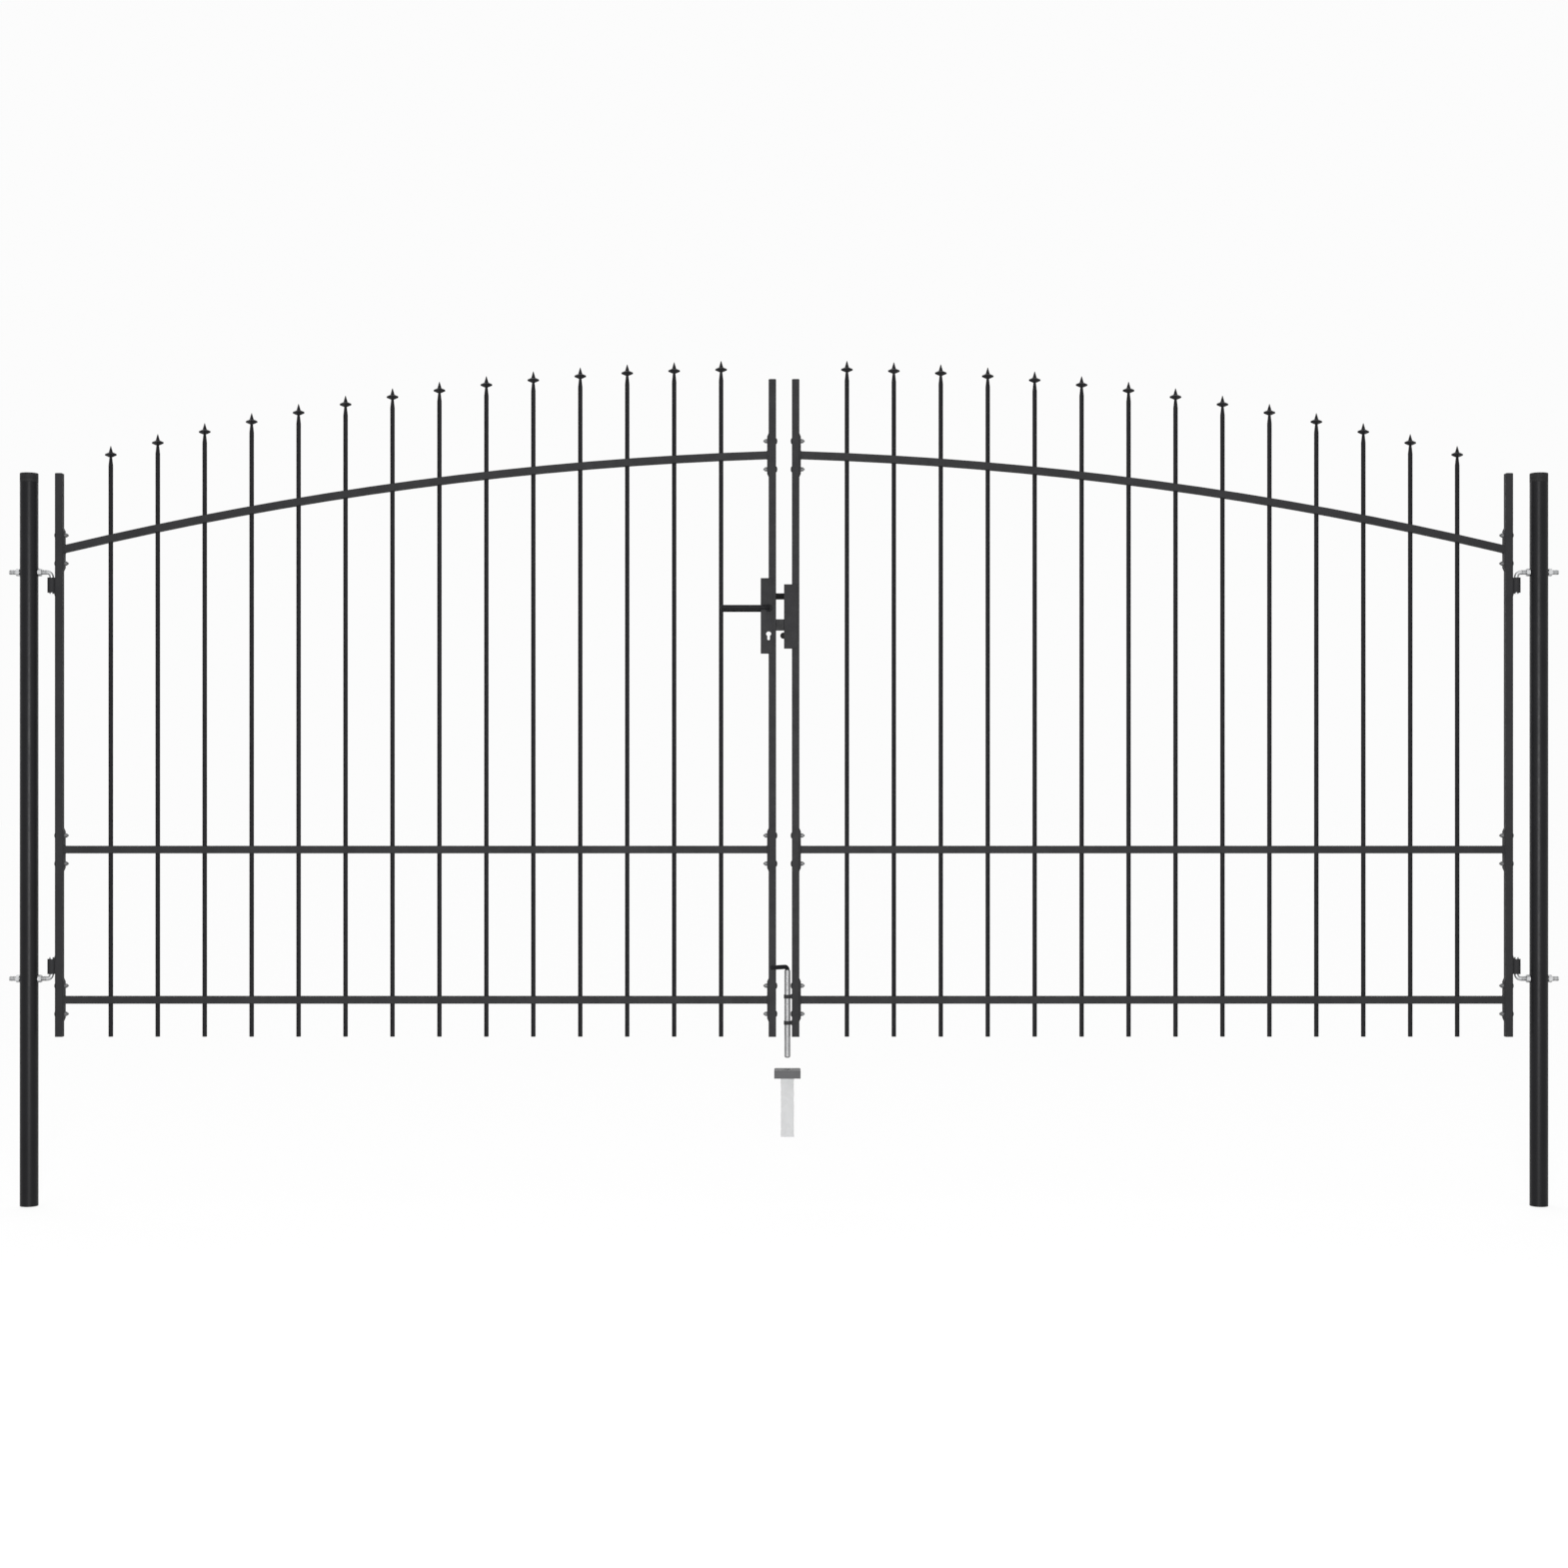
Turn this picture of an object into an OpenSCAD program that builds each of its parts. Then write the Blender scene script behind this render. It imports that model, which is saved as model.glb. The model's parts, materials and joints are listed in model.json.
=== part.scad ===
// Double-leaf driveway gate of square steel tube on two round posts: arched top rails,
// round pickets with spear heads, pintle hinges, a lever lock with its keeper, and a drop bolt.
// The origin is the middle of the left post's foot. +X runs along the gate to the right post,
// +Y points to the side that the leaves open to, and +Z is up. All sizes are in millimetres.

/* [Leaf frame] */
// Number of pickets in one leaf
picket_count = 14; // [6:1:18]
// Distance between the axes of neighbouring pickets
picket_pitch = 125; // [100:1:150]
// Distance from a stile's inner face to the axis of the nearest picket
end_space = 126.5; // [100:0.5:160]
// Outside width of the square frame tubes
tube_w = 20; // [18:1:24]
// Wall of the square frame tubes
tube_t = 1.5; // [1:0.1:2.5]
// Outside corner radius of the square frame tubes
tube_r = 2; // [1.5:0.1:3]
// Height of the leaves' lower edge above the posts' feet
leaf_z = 450; // [400:1:600]
// Height of the hinge stile with its cap
hinge_stile_h = 1500; // [1440:1:1700]
// Height of the lock stile with its cap
lock_stile_h = 1750; // [1690:1:2000]
// Gap between the two lock stiles
meeting_gap = 42; // [40:1:50]
// Height of the bottom rail's axis above the leaf's lower edge
bottom_rail_z = 98; // [80:1:130]
// Height of the middle rail's axis above the leaf's lower edge
mid_rail_z = 498; // [400:1:700]
// Distance from the hinge stile's top down to the top rail's axis
top_rail_hinge_drop = 203; // [120:1:210]
// Distance from the lock stile's top down to the top rail's axis
top_rail_lock_drop = 202; // [110:1:230]
// Radius of the top rail's arch
top_rail_r = 9450; // [5000:50:14000]
// Thickness of the rails' end plates
plate_t = 4; // [2:0.5:5]
// Height of the rails' end plates
plate_h = 115; // [90:1:130]
// Width of the rails' end plates
plate_w = 18; // [14:0.5:20]
// Length of the ramps at both ends of the end plates
plate_ramp = 9; // [4:0.5:14]
// Thickness of the stile caps above the tube
cap_t = 3; // [2:0.5:6]
// Depth of the plugs that hold the caps
plug_h = 15; // [8:1:25]

/* [Pickets and spears] */
// Diameter of the pickets
picket_d = 12; // [10:0.5:14]
// Clearance round a picket in its punched hole
picket_fit = 0.3; // [0.1:0.05:0.5]
// Height of the spear tips' arc above the top rail's axis, at the hinge stile
tip_hinge_rise = 240.7; // [200:0.1:280]
// Height of the spear tips' arc above the top rail's axis, at the lock stile
tip_lock_rise = 252; // [200:0.1:280]
// Radius of the arc that the spear tips follow
tip_r = 6925; // [5000:25:14000]
// Height of a spear head
spear_h = 52; // [44:1:70]
// Distance from the tip down to the points of the side arms
arm_depth = 23; // [18:0.5:26]
// Width over the points of the side arms
arm_span = 31; // [22:0.5:40]
// Half height of a side arm where it leaves the blade
arm_root = 6.5; // [4:0.25:8]
// Half height of a side arm's blunt end
arm_end = 2; // [0.5:0.25:3]
// Width of the blade just above the side arms
blade_w = 11; // [8:0.5:14]
// Width of the waist between the arms and the foot
waist_w = 10; // [7:0.5:12]
// Width of the blunted tip
tip_w = 1.6; // [0.8:0.1:3]

/* [Posts] */
// Diameter of the posts
post_d = 48; // [42:1:60]
// Wall of the posts
post_t = 2.5; // [2:0.1:4]
// Height of the posts with their caps
post_h = 1950; // [1900:1:2300]
// Height of the post cap's rim
cap_rim_h = 11; // [6:1:20]
// Height of the post cap's dome
cap_dome_h = 13; // [6:1:20]
// Distance from a post's axis to the hinge axis
post_to_hinge = 60; // [56:1:90]

/* [Hinges] */
// Diameter of the pintle bars
pin_d = 12; // [10:0.5:14]
// Clearance round a pin in its barrel
pin_fit = 0.25; // [0.1:0.05:0.5]
// Clearance round a pintle bar in the post
bar_fit = 0.3; // [0.1:0.05:0.6]
// Outside diameter of the barrels
barrel_d = 22; // [19:0.5:26]
// Length of the barrels
barrel_h = 40; // [30:1:60]
// Height of the upper pintle bar above the leaf's lower edge
upper_bar_z = 1236; // [1100:1:1236]
// Height of the lower pintle bar above the leaf's lower edge
lower_bar_z = 154.5; // [140:0.5:400]
// Bend radius of the pintle bars, to their axis
bend_r = 12; // [11:0.5:16]
// Gap between the upper bend and its barrel, which lets the leaf be lifted level
lift_gap = 2; // [1:0.5:6]
// Gap between the lower bend and the barrel that rests on it
rest_gap = 0.3; // [0.1:0.1:0.6]
// Length of bar that stands out beyond the post's axis, away from the leaf
bar_tail = 52; // [46:1:70]
// Length of pin that shows beyond a barrel
pin_end = 3; // [1:0.5:8]
// Width over the flats of the hinge nuts
nut_af = 18; // [16:0.5:22]
// Height of the hinge nuts
nut_h = 10; // [8:0.5:12]
// Height of the chamfer at the nuts' corners
nut_chamfer = 1.2; // [0.5:0.1:2]
// Clearance between a nut and the round post, and round the bar in the nut
nut_fit = 0.15; // [0.1:0.05:0.3]
// Height of the gusset that ties a barrel to the stile
gusset_h = 16; // [8:1:30]
// Width of the gusset at the barrel
gusset_w = 4.5; // [3:0.5:6]
// Thickness of the gusset
gusset_t = 6; // [3:0.5:10]

/* [Lock] */
// Distance from the lock stile's top down to the lock's middle
lock_drop = 630; // [600:1:750]
// Height of the lock
lock_h = 198; // [190:1:220]
// Width of the lock plates
lock_w = 28; // [27:0.5:36]
// Width of lock plate that lies on the stile
lock_lap = 10.5; // [9.5:0.5:16]
// Thickness of the lock plates
lock_plate_t = 3; // [2:0.5:5]
// Thickness of the case where it passes through the stile
case_t = 14; // [13:0.5:15]
// Distance from the lock's ends to the part of the case inside the stile
case_end = 20; // [12:1:24]
// Clearance of the case in the stile and of the bolts in the case
case_fit = 0.3; // [0.15:0.05:0.5]
// Wall of the case behind the bolts
case_back = 2; // [1.5:0.25:3]
// Height of the lever's axis above the lock's middle
lever_up = 20; // [13:1:26]
// Height of the cylinder hole's axis above the lock's middle
cylinder_up = -47.5; // [-55:0.5:-47.5]
// Radius of the cylinder hole
cylinder_r = 6.8; // [6:0.1:7.2]
// Width of the cylinder hole's lower slot
cylinder_slot_w = 8; // [6:0.5:9]
// Height of the cylinder hole with its slot
cylinder_h = 24.5; // [20:0.5:28]
// Height of the latch bolt's axis above the lock's middle
latch_up = 52; // [46:1:59]
// Height of the latch bolt
latch_h = 16; // [10:0.5:18]
// Thickness of the latch bolt
latch_t = 11; // [8:0.5:11]
// Reach of the latch bolt into the keeper
latch_bite = 6; // [4:0.5:10]
// Length of the latch bolt's bevel
latch_bevel = 9; // [5:0.5:12]
// Stroke of the latch bolt when the lever is down
latch_stroke = 12; // [8:0.5:12]
// Height of the deadbolt's axis above the lock's middle
deadbolt_up = -24; // [-24.5:0.5:-20]
// Height of the deadbolt
deadbolt_h = 30; // [20:0.5:30]
// Thickness of the deadbolt
deadbolt_t = 9; // [6:0.5:11]
// Gap between the drawn deadbolt and the keeper
deadbolt_gap = 1.5; // [1:0.25:4]
// Stroke of the deadbolt from the drawn position back into the case
deadbolt_stroke = 12; // [6:0.5:12]
// Chamfer at the end of the deadbolt
deadbolt_chamfer = 1.5; // [0.5:0.25:3]
// Length of a bolt's tail inside the case, behind the stile's inner face
bolt_tail = 2; // [1:0.5:3]

/* [Lever] */
// Diameter of the lever's bar
lever_d = 17; // [12:0.5:18]
// Length of the lever from its axis
lever_len = 128; // [100:1:150]
// Distance from the leaf's middle plane to the lever's bar
lever_reach = 46; // [42:1:60]
// Bend radius of the lever's bar, to its axis
lever_bend_r = 14; // [10:0.5:18]
// Diameter of the lever's hub
hub_d = 22; // [18:0.5:24]
// Height of the lever's hub
hub_h = 8; // [5:0.5:12]
// Gap between the hub and the lock plate
hub_gap = 0.3; // [0.2:0.1:1]
// Diameter of the spindle
spindle_d = 9; // [7:0.5:10]
// Clearance round the spindle
spindle_fit = 0.3; // [0.1:0.05:0.5]
// Depth of the spindle in each lever
spindle_depth = 10; // [6:0.5:14]

/* [Keeper] */
// Height of the keeper's middle above the lock's middle
keeper_up = -1.5; // [-6:0.5:5]
// Height of the keeper
keeper_h = 169; // [160:1:180]
// Width of the keeper plates
keeper_w = 33; // [30:0.5:40]
// Distance that the keeper stands out from the lock stile's face
keeper_reach = 19; // [17:0.5:22]
// Thickness of the keeper plates
keeper_plate_t = 3; // [2:0.5:5]
// Thickness of the strike between the keeper plates
strike_t = 3; // [2:0.5:4]
// Clearance round the bolts in the strike
strike_fit = 2; // [1:0.25:2.5]
// Height of the buffer's axis above the lock's middle
buffer_up = -52.5; // [-60:0.5:-51]
// Diameter of the buffer
buffer_d = 17; // [8:0.5:18]
// Length of the buffer
buffer_l = 12; // [9:0.5:14]

/* [Drop bolt] */
// Diameter of the drop bolt's rod
drop_d = 16; // [13:0.5:17]
// Distance from the right lock stile's face to the drop bolt's axis
drop_out = 12; // [11:0.5:14]
// Diameter of the handle's bar
handle_d = 12; // [9:0.5:12]
// Depth of the handle's stem in the rod
handle_depth = 16; // [10:1:30]
// Clearance round the handle's stem in the rod
handle_fit = 0.1; // [0.05:0.05:0.2]
// Height of the handle's axis above the leaf's lower edge
drop_handle_z = 186; // [180:1:220]
// Depth of the drop bolt's end below the leaf's lower edge, with the bolt raised
drop_tip_depth = 56; // [45:1:60]
// Bend radius of the handle's bar, to its axis
handle_bend_r = 9; // [8:0.5:14]
// Length of the handle from the rod's axis
drop_handle_l = 53; // [48:1:60]
// Angle that the handle is turned to the front of the gate
drop_handle_turn = 40; // [36:1:60]
// Chamfer at the lower end of the drop bolt
drop_chamfer = 3; // [1:0.5:4]
// Height of the lower guide above the leaf's lower edge
guide_low_z = 37; // [25:1:50]
// Height of the upper guide above the leaf's lower edge
guide_high_z = 107; // [90:1:112]
// Height of a guide
guide_h = 10; // [8:1:14]
// Wall of a guide's ring
guide_t = 1.2; // [1:0.1:2]
// Clearance round the drop bolt in its guides
guide_fit = 0.3; // [0.2:0.05:0.5]

/* [Ground socket] */
// Depth of the socket's top below the leaf's lower edge
socket_depth = 82; // [75:1:110]
// Width of the square collar
collar_w = 70; // [60:1:90]
// Height of the collar
collar_h = 26; // [15:1:40]
// Chamfer round the collar's top
collar_chamfer = 3; // [1:0.5:6]
// Diameter of the socket's hole
socket_bore_d = 18; // [17:0.5:22]
// Width of the square tube below the collar
socket_tube_w = 35; // [30:1:45]
// Wall of the square tube below the collar
socket_tube_t = 2; // [1.5:0.25:4]
// Length of the square tube below the collar
socket_tube_l = 157; // [100:1:180]

/* [Hidden] */
$fn = 48;
through = 1;
corner_steps = 4;
black = [0.13, 0.13, 0.14];
deep_black = [0.07, 0.07, 0.075];
zinc = [0.78, 0.79, 0.8];
socket_grey = [0.42, 0.42, 0.43];

tube_half = tube_w / 2;
tube_inner = tube_w - 2 * tube_t;
hinge_x = post_to_hinge;
hinge_stile_x = hinge_x + barrel_d / 2;
hinge_face_x = hinge_stile_x + tube_w;
clear_w = (picket_count - 1) * picket_pitch + 2 * end_space;
lock_face_x = hinge_face_x + clear_w;
lock_edge_x = lock_face_x + tube_w;
gate_mid_x = lock_edge_x + meeting_gap / 2;
right_edge_x = gate_mid_x + meeting_gap / 2;

// Centre of an arc of radius r that bulges upward from point p to point q
function arc_centre(p, q, r) =
    let (span = q - p, chord = norm(span), drop = sqrt(r * r - chord * chord / 4))
    (p + q) / 2 + drop / chord * [span[1], -span[0]];
function arc_z(centre, r, x) = centre[1] + sqrt(r * r - pow(x - centre[0], 2));

top_rail_hinge_z = hinge_stile_h - top_rail_hinge_drop;
top_rail_lock_z = lock_stile_h - top_rail_lock_drop;
rail_start = [hinge_face_x, leaf_z + top_rail_hinge_z];
rail_end = [lock_face_x, leaf_z + top_rail_lock_z];
arch_centre = arc_centre(rail_start, rail_end, top_rail_r);
arch_top = arch_centre[1] + top_rail_r + tube_w;
arch_margin = 0.2;
arch_start = atan2(rail_end[1] - arch_centre[1], rail_end[0] - arch_centre[0]) - arch_margin;
arch_end = atan2(rail_start[1] - arch_centre[1], rail_start[0] - arch_centre[0]) + arch_margin;
tip_centre = arc_centre(rail_start + [0, tip_hinge_rise], rail_end + [0, tip_lock_rise], tip_r);

neck_h = spear_h - arm_depth - arm_root;
post_tube_h = post_h - cap_rim_h - cap_dome_h;
dome_r = (post_d * post_d / 4 + cap_dome_h * cap_dome_h) / (2 * cap_dome_h);
post_plug_d = post_d - 2 * post_t - 2 * picket_fit;

upper_barrel_z = leaf_z + upper_bar_z - bend_r - lift_gap - barrel_h;
lower_barrel_z = leaf_z + lower_bar_z + bend_r + rest_gap;

lock_mid = leaf_z + lock_stile_h - lock_drop;
lock_base = lock_mid - lock_h / 2;
lock_x = lock_face_x + lock_lap - lock_w;
lock_axis_x = lock_face_x;
lever_z = lock_mid + lever_up;
cylinder_z = lock_mid + cylinder_up;
latch_z = lock_mid + latch_up;
deadbolt_z = lock_mid + deadbolt_up;
keeper_x = right_edge_x - keeper_reach;
keeper_base = lock_mid + keeper_up - keeper_h / 2;
latch_tip_x = keeper_x + latch_bite;
deadbolt_tip_x = keeper_x - deadbolt_gap;
plate_y = tube_half + lock_plate_t;

drop_x = right_edge_x - drop_out;
drop_tip_z = leaf_z - drop_tip_depth;
guide_bore_d = drop_d + 2 * guide_fit;
guide_d = guide_bore_d + 2 * guide_t;
rod_top = leaf_z + drop_handle_z - handle_bend_r;
collar_z = leaf_z - socket_depth - collar_h;

function picket_x(i) = hinge_face_x + end_space + i * picket_pitch;
function spear_tip_z(x) = arc_z(tip_centre, tip_r, x);

// Copies its children to the other half of the gate
module on_right() {
    translate([2 * gate_mid_x, 0, 0]) mirror([1, 0, 0]) children();
}

// Closed-foot round tube with the cross holes for the two pintle bars
module post() {
    color(black) difference() {
        cylinder(d = post_d, h = post_tube_h);
        translate([0, 0, post_t]) cylinder(d = post_d - 2 * post_t, h = post_tube_h);
        for (z = [lower_bar_z, upper_bar_z])
            translate([-post_d, 0, leaf_z + z]) rotate([0, 90, 0])
                cylinder(d = pin_d + 2 * bar_fit, h = 2 * post_d);
    }
}

// Domed cap with a plug inside the post
module post_cap() {
    color(deep_black) translate([0, 0, post_tube_h]) union() {
        translate([0, 0, -plug_h]) cylinder(d = post_plug_d, h = plug_h + through);
        cylinder(d = post_d, h = cap_rim_h);
        translate([0, 0, cap_rim_h]) intersection() {
            translate([0, 0, cap_dome_h - dome_r]) sphere(r = dome_r);
            translate([0, 0, -through]) cylinder(d = post_d, h = cap_dome_h + 2 * through);
        }
    }
}

// Bar that crosses the post, bends upward and ends in the pin
module pintle() {
    color(zinc) union() {
        translate([-bar_tail, 0, 0]) rotate([0, 90, 0])
            cylinder(d = pin_d, h = bar_tail + hinge_x - bend_r);
        translate([hinge_x - bend_r, 0, bend_r]) rotate([90, 0, 0]) rotate([0, 0, -90])
            rotate_extrude(angle = 90) translate([bend_r, 0]) circle(d = pin_d);
        translate([hinge_x, 0, bend_r])
            cylinder(d = pin_d, h = barrel_h + lift_gap + pin_end);
    }
}

module lower_pintle() {
    translate([0, 0, leaf_z + lower_bar_z]) pintle();
}

module upper_pintle() {
    translate([0, 0, leaf_z + upper_bar_z]) mirror([0, 0, 1]) pintle();
}

// Hexagon nut on its bar's axis, chamfered at both ends
module hinge_nut() {
    corner_r = nut_af / 2 / cos(30);
    end_r = nut_af / 2;
    difference() {
        intersection() {
            cylinder(r = corner_r, h = nut_h, $fn = 6);
            rotate_extrude()
                polygon([[0, 0], [end_r, 0], [corner_r, nut_chamfer],
                         [corner_r, nut_h - nut_chamfer], [end_r, nut_h], [0, nut_h]]);
        }
        translate([0, 0, -through])
            cylinder(d = pin_d + 2 * nut_fit, h = nut_h + 2 * through);
    }
}

// Nuts on both sides of the post, at both pintle bars
module hinge_nuts() {
    color(zinc) for (z = [lower_bar_z, upper_bar_z])
        for (side = [0, 1])
            translate([0, 0, leaf_z + z]) mirror([side, 0, 0])
                translate([post_d / 2 + nut_fit, 0, 0]) rotate([0, 90, 0]) hinge_nut();
}

// Barrel with the gusset that ties its lower end to the stile
module hinge_barrel() {
    difference() {
        union() {
            cylinder(d = barrel_d, h = barrel_h);
            translate([barrel_d / 2, gusset_t / 2, 0]) rotate([90, 0, 0])
                linear_extrude(gusset_t)
                    polygon([[0, -gusset_h], [0, barrel_h / 2], [-gusset_w, barrel_h / 2],
                             [-gusset_w, 0]]);
        }
        translate([0, 0, -gusset_h - through])
            cylinder(d = pin_d + 2 * pin_fit, h = barrel_h + gusset_h + 2 * through);
    }
}

module hinge_barrels() {
    color(deep_black) {
        translate([hinge_x, 0, upper_barrel_z]) hinge_barrel();
        translate([hinge_x, 0, lower_barrel_z + barrel_h]) mirror([0, 0, 1]) hinge_barrel();
    }
}

// Cross-section of a frame tube's outside, with its rounded corners
module tube_outline() {
    centre = tube_half - tube_r;
    turns = [for (corner = [0 : 3]) for (step = [0 : corner_steps]) [corner, step / corner_steps]];
    polygon([for (t = turns)
        let (mid = 90 * t[0] + 45, a = 90 * (t[0] + t[1]))
        centre * [sign(cos(mid)), sign(sin(mid))] + tube_r * [cos(a), sin(a)]]);
}

// Upright square tube, open at both ends, from the leaf's lower edge
module stile_tube(x, h) {
    translate([x + tube_half, 0, leaf_z]) difference() {
        linear_extrude(h) tube_outline();
        translate([-tube_inner / 2, -tube_inner / 2, -through])
            cube([tube_inner, tube_inner, h + 2 * through]);
    }
}

module hinge_stile() {
    color(black) stile_tube(hinge_stile_x, hinge_stile_h - cap_t);
}

module lock_stile() {
    color(black) stile_tube(lock_face_x, lock_stile_h - cap_t);
}

// Cap plate with bevelled rim and a plug inside the tube
module stile_cap(x, h) {
    plug_w = tube_inner - 2 * picket_fit;
    translate([x + tube_half, 0, leaf_z + h - cap_t]) {
        intersection() {
            rotate([90, 0, 0]) cap_profile();
            rotate([90, 0, 90]) cap_profile();
            linear_extrude(cap_t) tube_outline();
        }
        translate([-plug_w / 2, -plug_w / 2, -plug_h]) cube([plug_w, plug_w, plug_h]);
    }
}

module cap_profile() {
    linear_extrude(tube_w, center = true)
        polygon([[-tube_half, 0], [tube_half, 0], [tube_half, cap_t / 2],
                 [tube_half - cap_t, cap_t], [cap_t - tube_half, cap_t],
                 [-tube_half, cap_t / 2]]);
}

module stile_caps() {
    color(deep_black) {
        stile_cap(hinge_stile_x, hinge_stile_h);
        stile_cap(lock_face_x, lock_stile_h);
    }
}

// Plate that bolts a rail's end to a stile, centred on height z, with ramps at both ends
module end_plate(x, z, inward) {
    h = plate_h / 2;
    t = inward * plate_t;
    translate([x, plate_w / 2, leaf_z + z]) rotate([90, 0, 0]) linear_extrude(plate_w)
        polygon([[0, -h], [t, plate_ramp - h], [t, h - plate_ramp], [0, h]]);
}

module picket_holes() {
    for (i = [0 : picket_count - 1])
        translate([picket_x(i), 0, leaf_z - through])
            cylinder(d = picket_d + 2 * picket_fit, h = arch_top - leaf_z);
}

// Straight rail with its end plates and the punched picket holes
module straight_rail(z) {
    color(black) difference() {
        union() {
            translate([hinge_face_x, 0, leaf_z + z]) difference() {
                rotate([90, 0, 90]) linear_extrude(clear_w) tube_outline();
                translate([plate_t, -tube_inner / 2, -tube_inner / 2])
                    cube([clear_w - 2 * plate_t, tube_inner, tube_inner]);
            }
            end_plate(hinge_face_x, z, 1);
            end_plate(lock_face_x, z, -1);
        }
        picket_holes();
    }
}

// Section swept along the arch in the gate's plane, kept between two distances from the post
module arch(x0, x1) {
    intersection() {
        translate([arch_centre[0], 0, arch_centre[1]]) rotate([90, 0, 0])
            rotate([0, 0, arch_start])
                rotate_extrude(angle = arch_end - arch_start)
                    translate([top_rail_r, 0]) children();
        translate([x0, -tube_w, leaf_z]) cube([x1 - x0, 2 * tube_w, arch_top - leaf_z]);
    }
}

module top_rail() {
    color(black) difference() {
        union() {
            difference() {
                arch(hinge_face_x, lock_face_x) tube_outline();
                arch(hinge_face_x + plate_t, lock_face_x - plate_t)
                    square(tube_inner, center = true);
            }
            end_plate(hinge_face_x, top_rail_hinge_z, 1);
            end_plate(lock_face_x, top_rail_lock_z, -1);
        }
        picket_holes();
    }
}

module pickets() {
    color(black) for (i = [0 : picket_count - 1])
        translate([picket_x(i), 0, leaf_z])
            cylinder(d = picket_d, h = spear_tip_z(picket_x(i)) - spear_h - leaf_z);
}

// Half of the blade and arms as one outline, from the waist up to the tip
module spear_outline() {
    k = sqrt(2);
    arm_z = spear_h - arm_depth;
    right = [[waist_w / 2, arm_z - arm_root], [arm_span / 2, arm_z - arm_end],
             [arm_span / 2, arm_z + arm_end], [blade_w / 2, arm_z + arm_root],
             [tip_w / 2, spear_h]];
    left = [for (p = [len(right) - 1 : -1 : 0]) [-right[p][0], right[p][1]]];
    polygon([for (p = concat(right, left)) [p[0] / k, p[1]]]);
}

// Outline of the head as a slab, turned to one of the head's diagonals
module spear_slab(turn) {
    rotate([0, 0, turn]) rotate([90, 0, 0])
        linear_extrude(arm_span, center = true) spear_outline();
}

// Four-sided cast head, made where two slabs cross, on a round tapered neck
module spear() {
    neck_top_r = waist_w / 2 / sqrt(2);
    intersection() {
        spear_slab(45);
        spear_slab(-45);
    }
    rotate_extrude()
        polygon([[0, 0], [picket_d / 2, 0], [neck_top_r, neck_h],
                 [neck_top_r, neck_h + arm_root], [0, neck_h + arm_root]]);
}

module spears() {
    color(black) for (i = [0 : picket_count - 1])
        translate([picket_x(i), 0, spear_tip_z(picket_x(i)) - spear_h]) spear();
}

// Keyhole outline for the lock's cylinder, cut across the lock
module cylinder_cut() {
    translate([lock_axis_x, 2 * plate_y, cylinder_z]) rotate([90, 0, 0]) {
        cylinder(r = cylinder_r, h = 4 * plate_y);
        translate([-cylinder_slot_w / 2, cylinder_r + cylinder_slot_w / 2 - cylinder_h, 0])
            cube([cylinder_slot_w, cylinder_h - cylinder_r - cylinder_slot_w / 2, 4 * plate_y]);
        translate([0, cylinder_r + cylinder_slot_w / 2 - cylinder_h, 0])
            cylinder(d = cylinder_slot_w, h = 4 * plate_y);
    }
}

module spindle_cut() {
    translate([lock_axis_x, 2 * plate_y, lever_z]) rotate([90, 0, 0])
        cylinder(d = spindle_d + 2 * spindle_fit, h = 4 * plate_y);
}

// Lock stile of the left leaf, slotted for the lock case
module slotted_lock_stile() {
    slot_w = case_t + 2 * case_fit;
    color(black) difference() {
        lock_stile();
        translate([lock_face_x - through, -slot_w / 2, lock_base + case_end - case_fit])
            cube([tube_w + 2 * through, slot_w, lock_h - 2 * case_end + 2 * case_fit]);
        cylinder_cut();
        spindle_cut();
    }
}

// Channel that a bolt slides in, open toward the meeting gap
module bolt_channel(z, h, t, stroke) {
    x0 = lock_face_x - bolt_tail - stroke - case_fit;
    translate([x0, -t / 2 - case_fit, z - h / 2 - case_fit])
        cube([lock_edge_x - x0 + through, t + 2 * case_fit, h + 2 * case_fit]);
}

// Case behind the plates, with a tongue that fills the slot in the stile
module lock_case() {
    color(deep_black) difference() {
        union() {
            translate([lock_x + case_back, -tube_half, lock_base + case_back])
                cube([lock_face_x - lock_x - case_back, tube_w, lock_h - 2 * case_back]);
            translate([lock_face_x - through, -case_t / 2, lock_base + case_end])
                cube([tube_w + through, case_t, lock_h - 2 * case_end]);
        }
        bolt_channel(latch_z, latch_h, latch_t, latch_stroke);
        bolt_channel(deadbolt_z, deadbolt_h, deadbolt_t, deadbolt_stroke);
        cylinder_cut();
        spindle_cut();
    }
}

// Lock plate on the front of the leaf
module lock_plate() {
    color(black) difference() {
        translate([lock_x, -plate_y, lock_base]) cube([lock_w, lock_plate_t, lock_h]);
        cylinder_cut();
        spindle_cut();
    }
}

// Latch bolt with its bevel to the front
module latch_bolt() {
    x0 = lock_face_x - bolt_tail;
    y = latch_t / 2;
    color(deep_black) translate([0, 0, latch_z - latch_h / 2]) linear_extrude(latch_h)
        polygon([[x0, -y], [latch_tip_x - latch_bevel, -y], [latch_tip_x, y / 2],
                 [latch_tip_x, y], [x0, y]]);
}

module deadbolt() {
    x0 = lock_face_x - bolt_tail;
    y = deadbolt_t / 2;
    c = deadbolt_chamfer;
    color(black) translate([0, 0, deadbolt_z - deadbolt_h / 2]) linear_extrude(deadbolt_h)
        polygon([[x0, -y], [deadbolt_tip_x - c, -y], [deadbolt_tip_x, c - y],
                 [deadbolt_tip_x, y - c], [deadbolt_tip_x - c, y], [x0, y]]);
}

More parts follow.
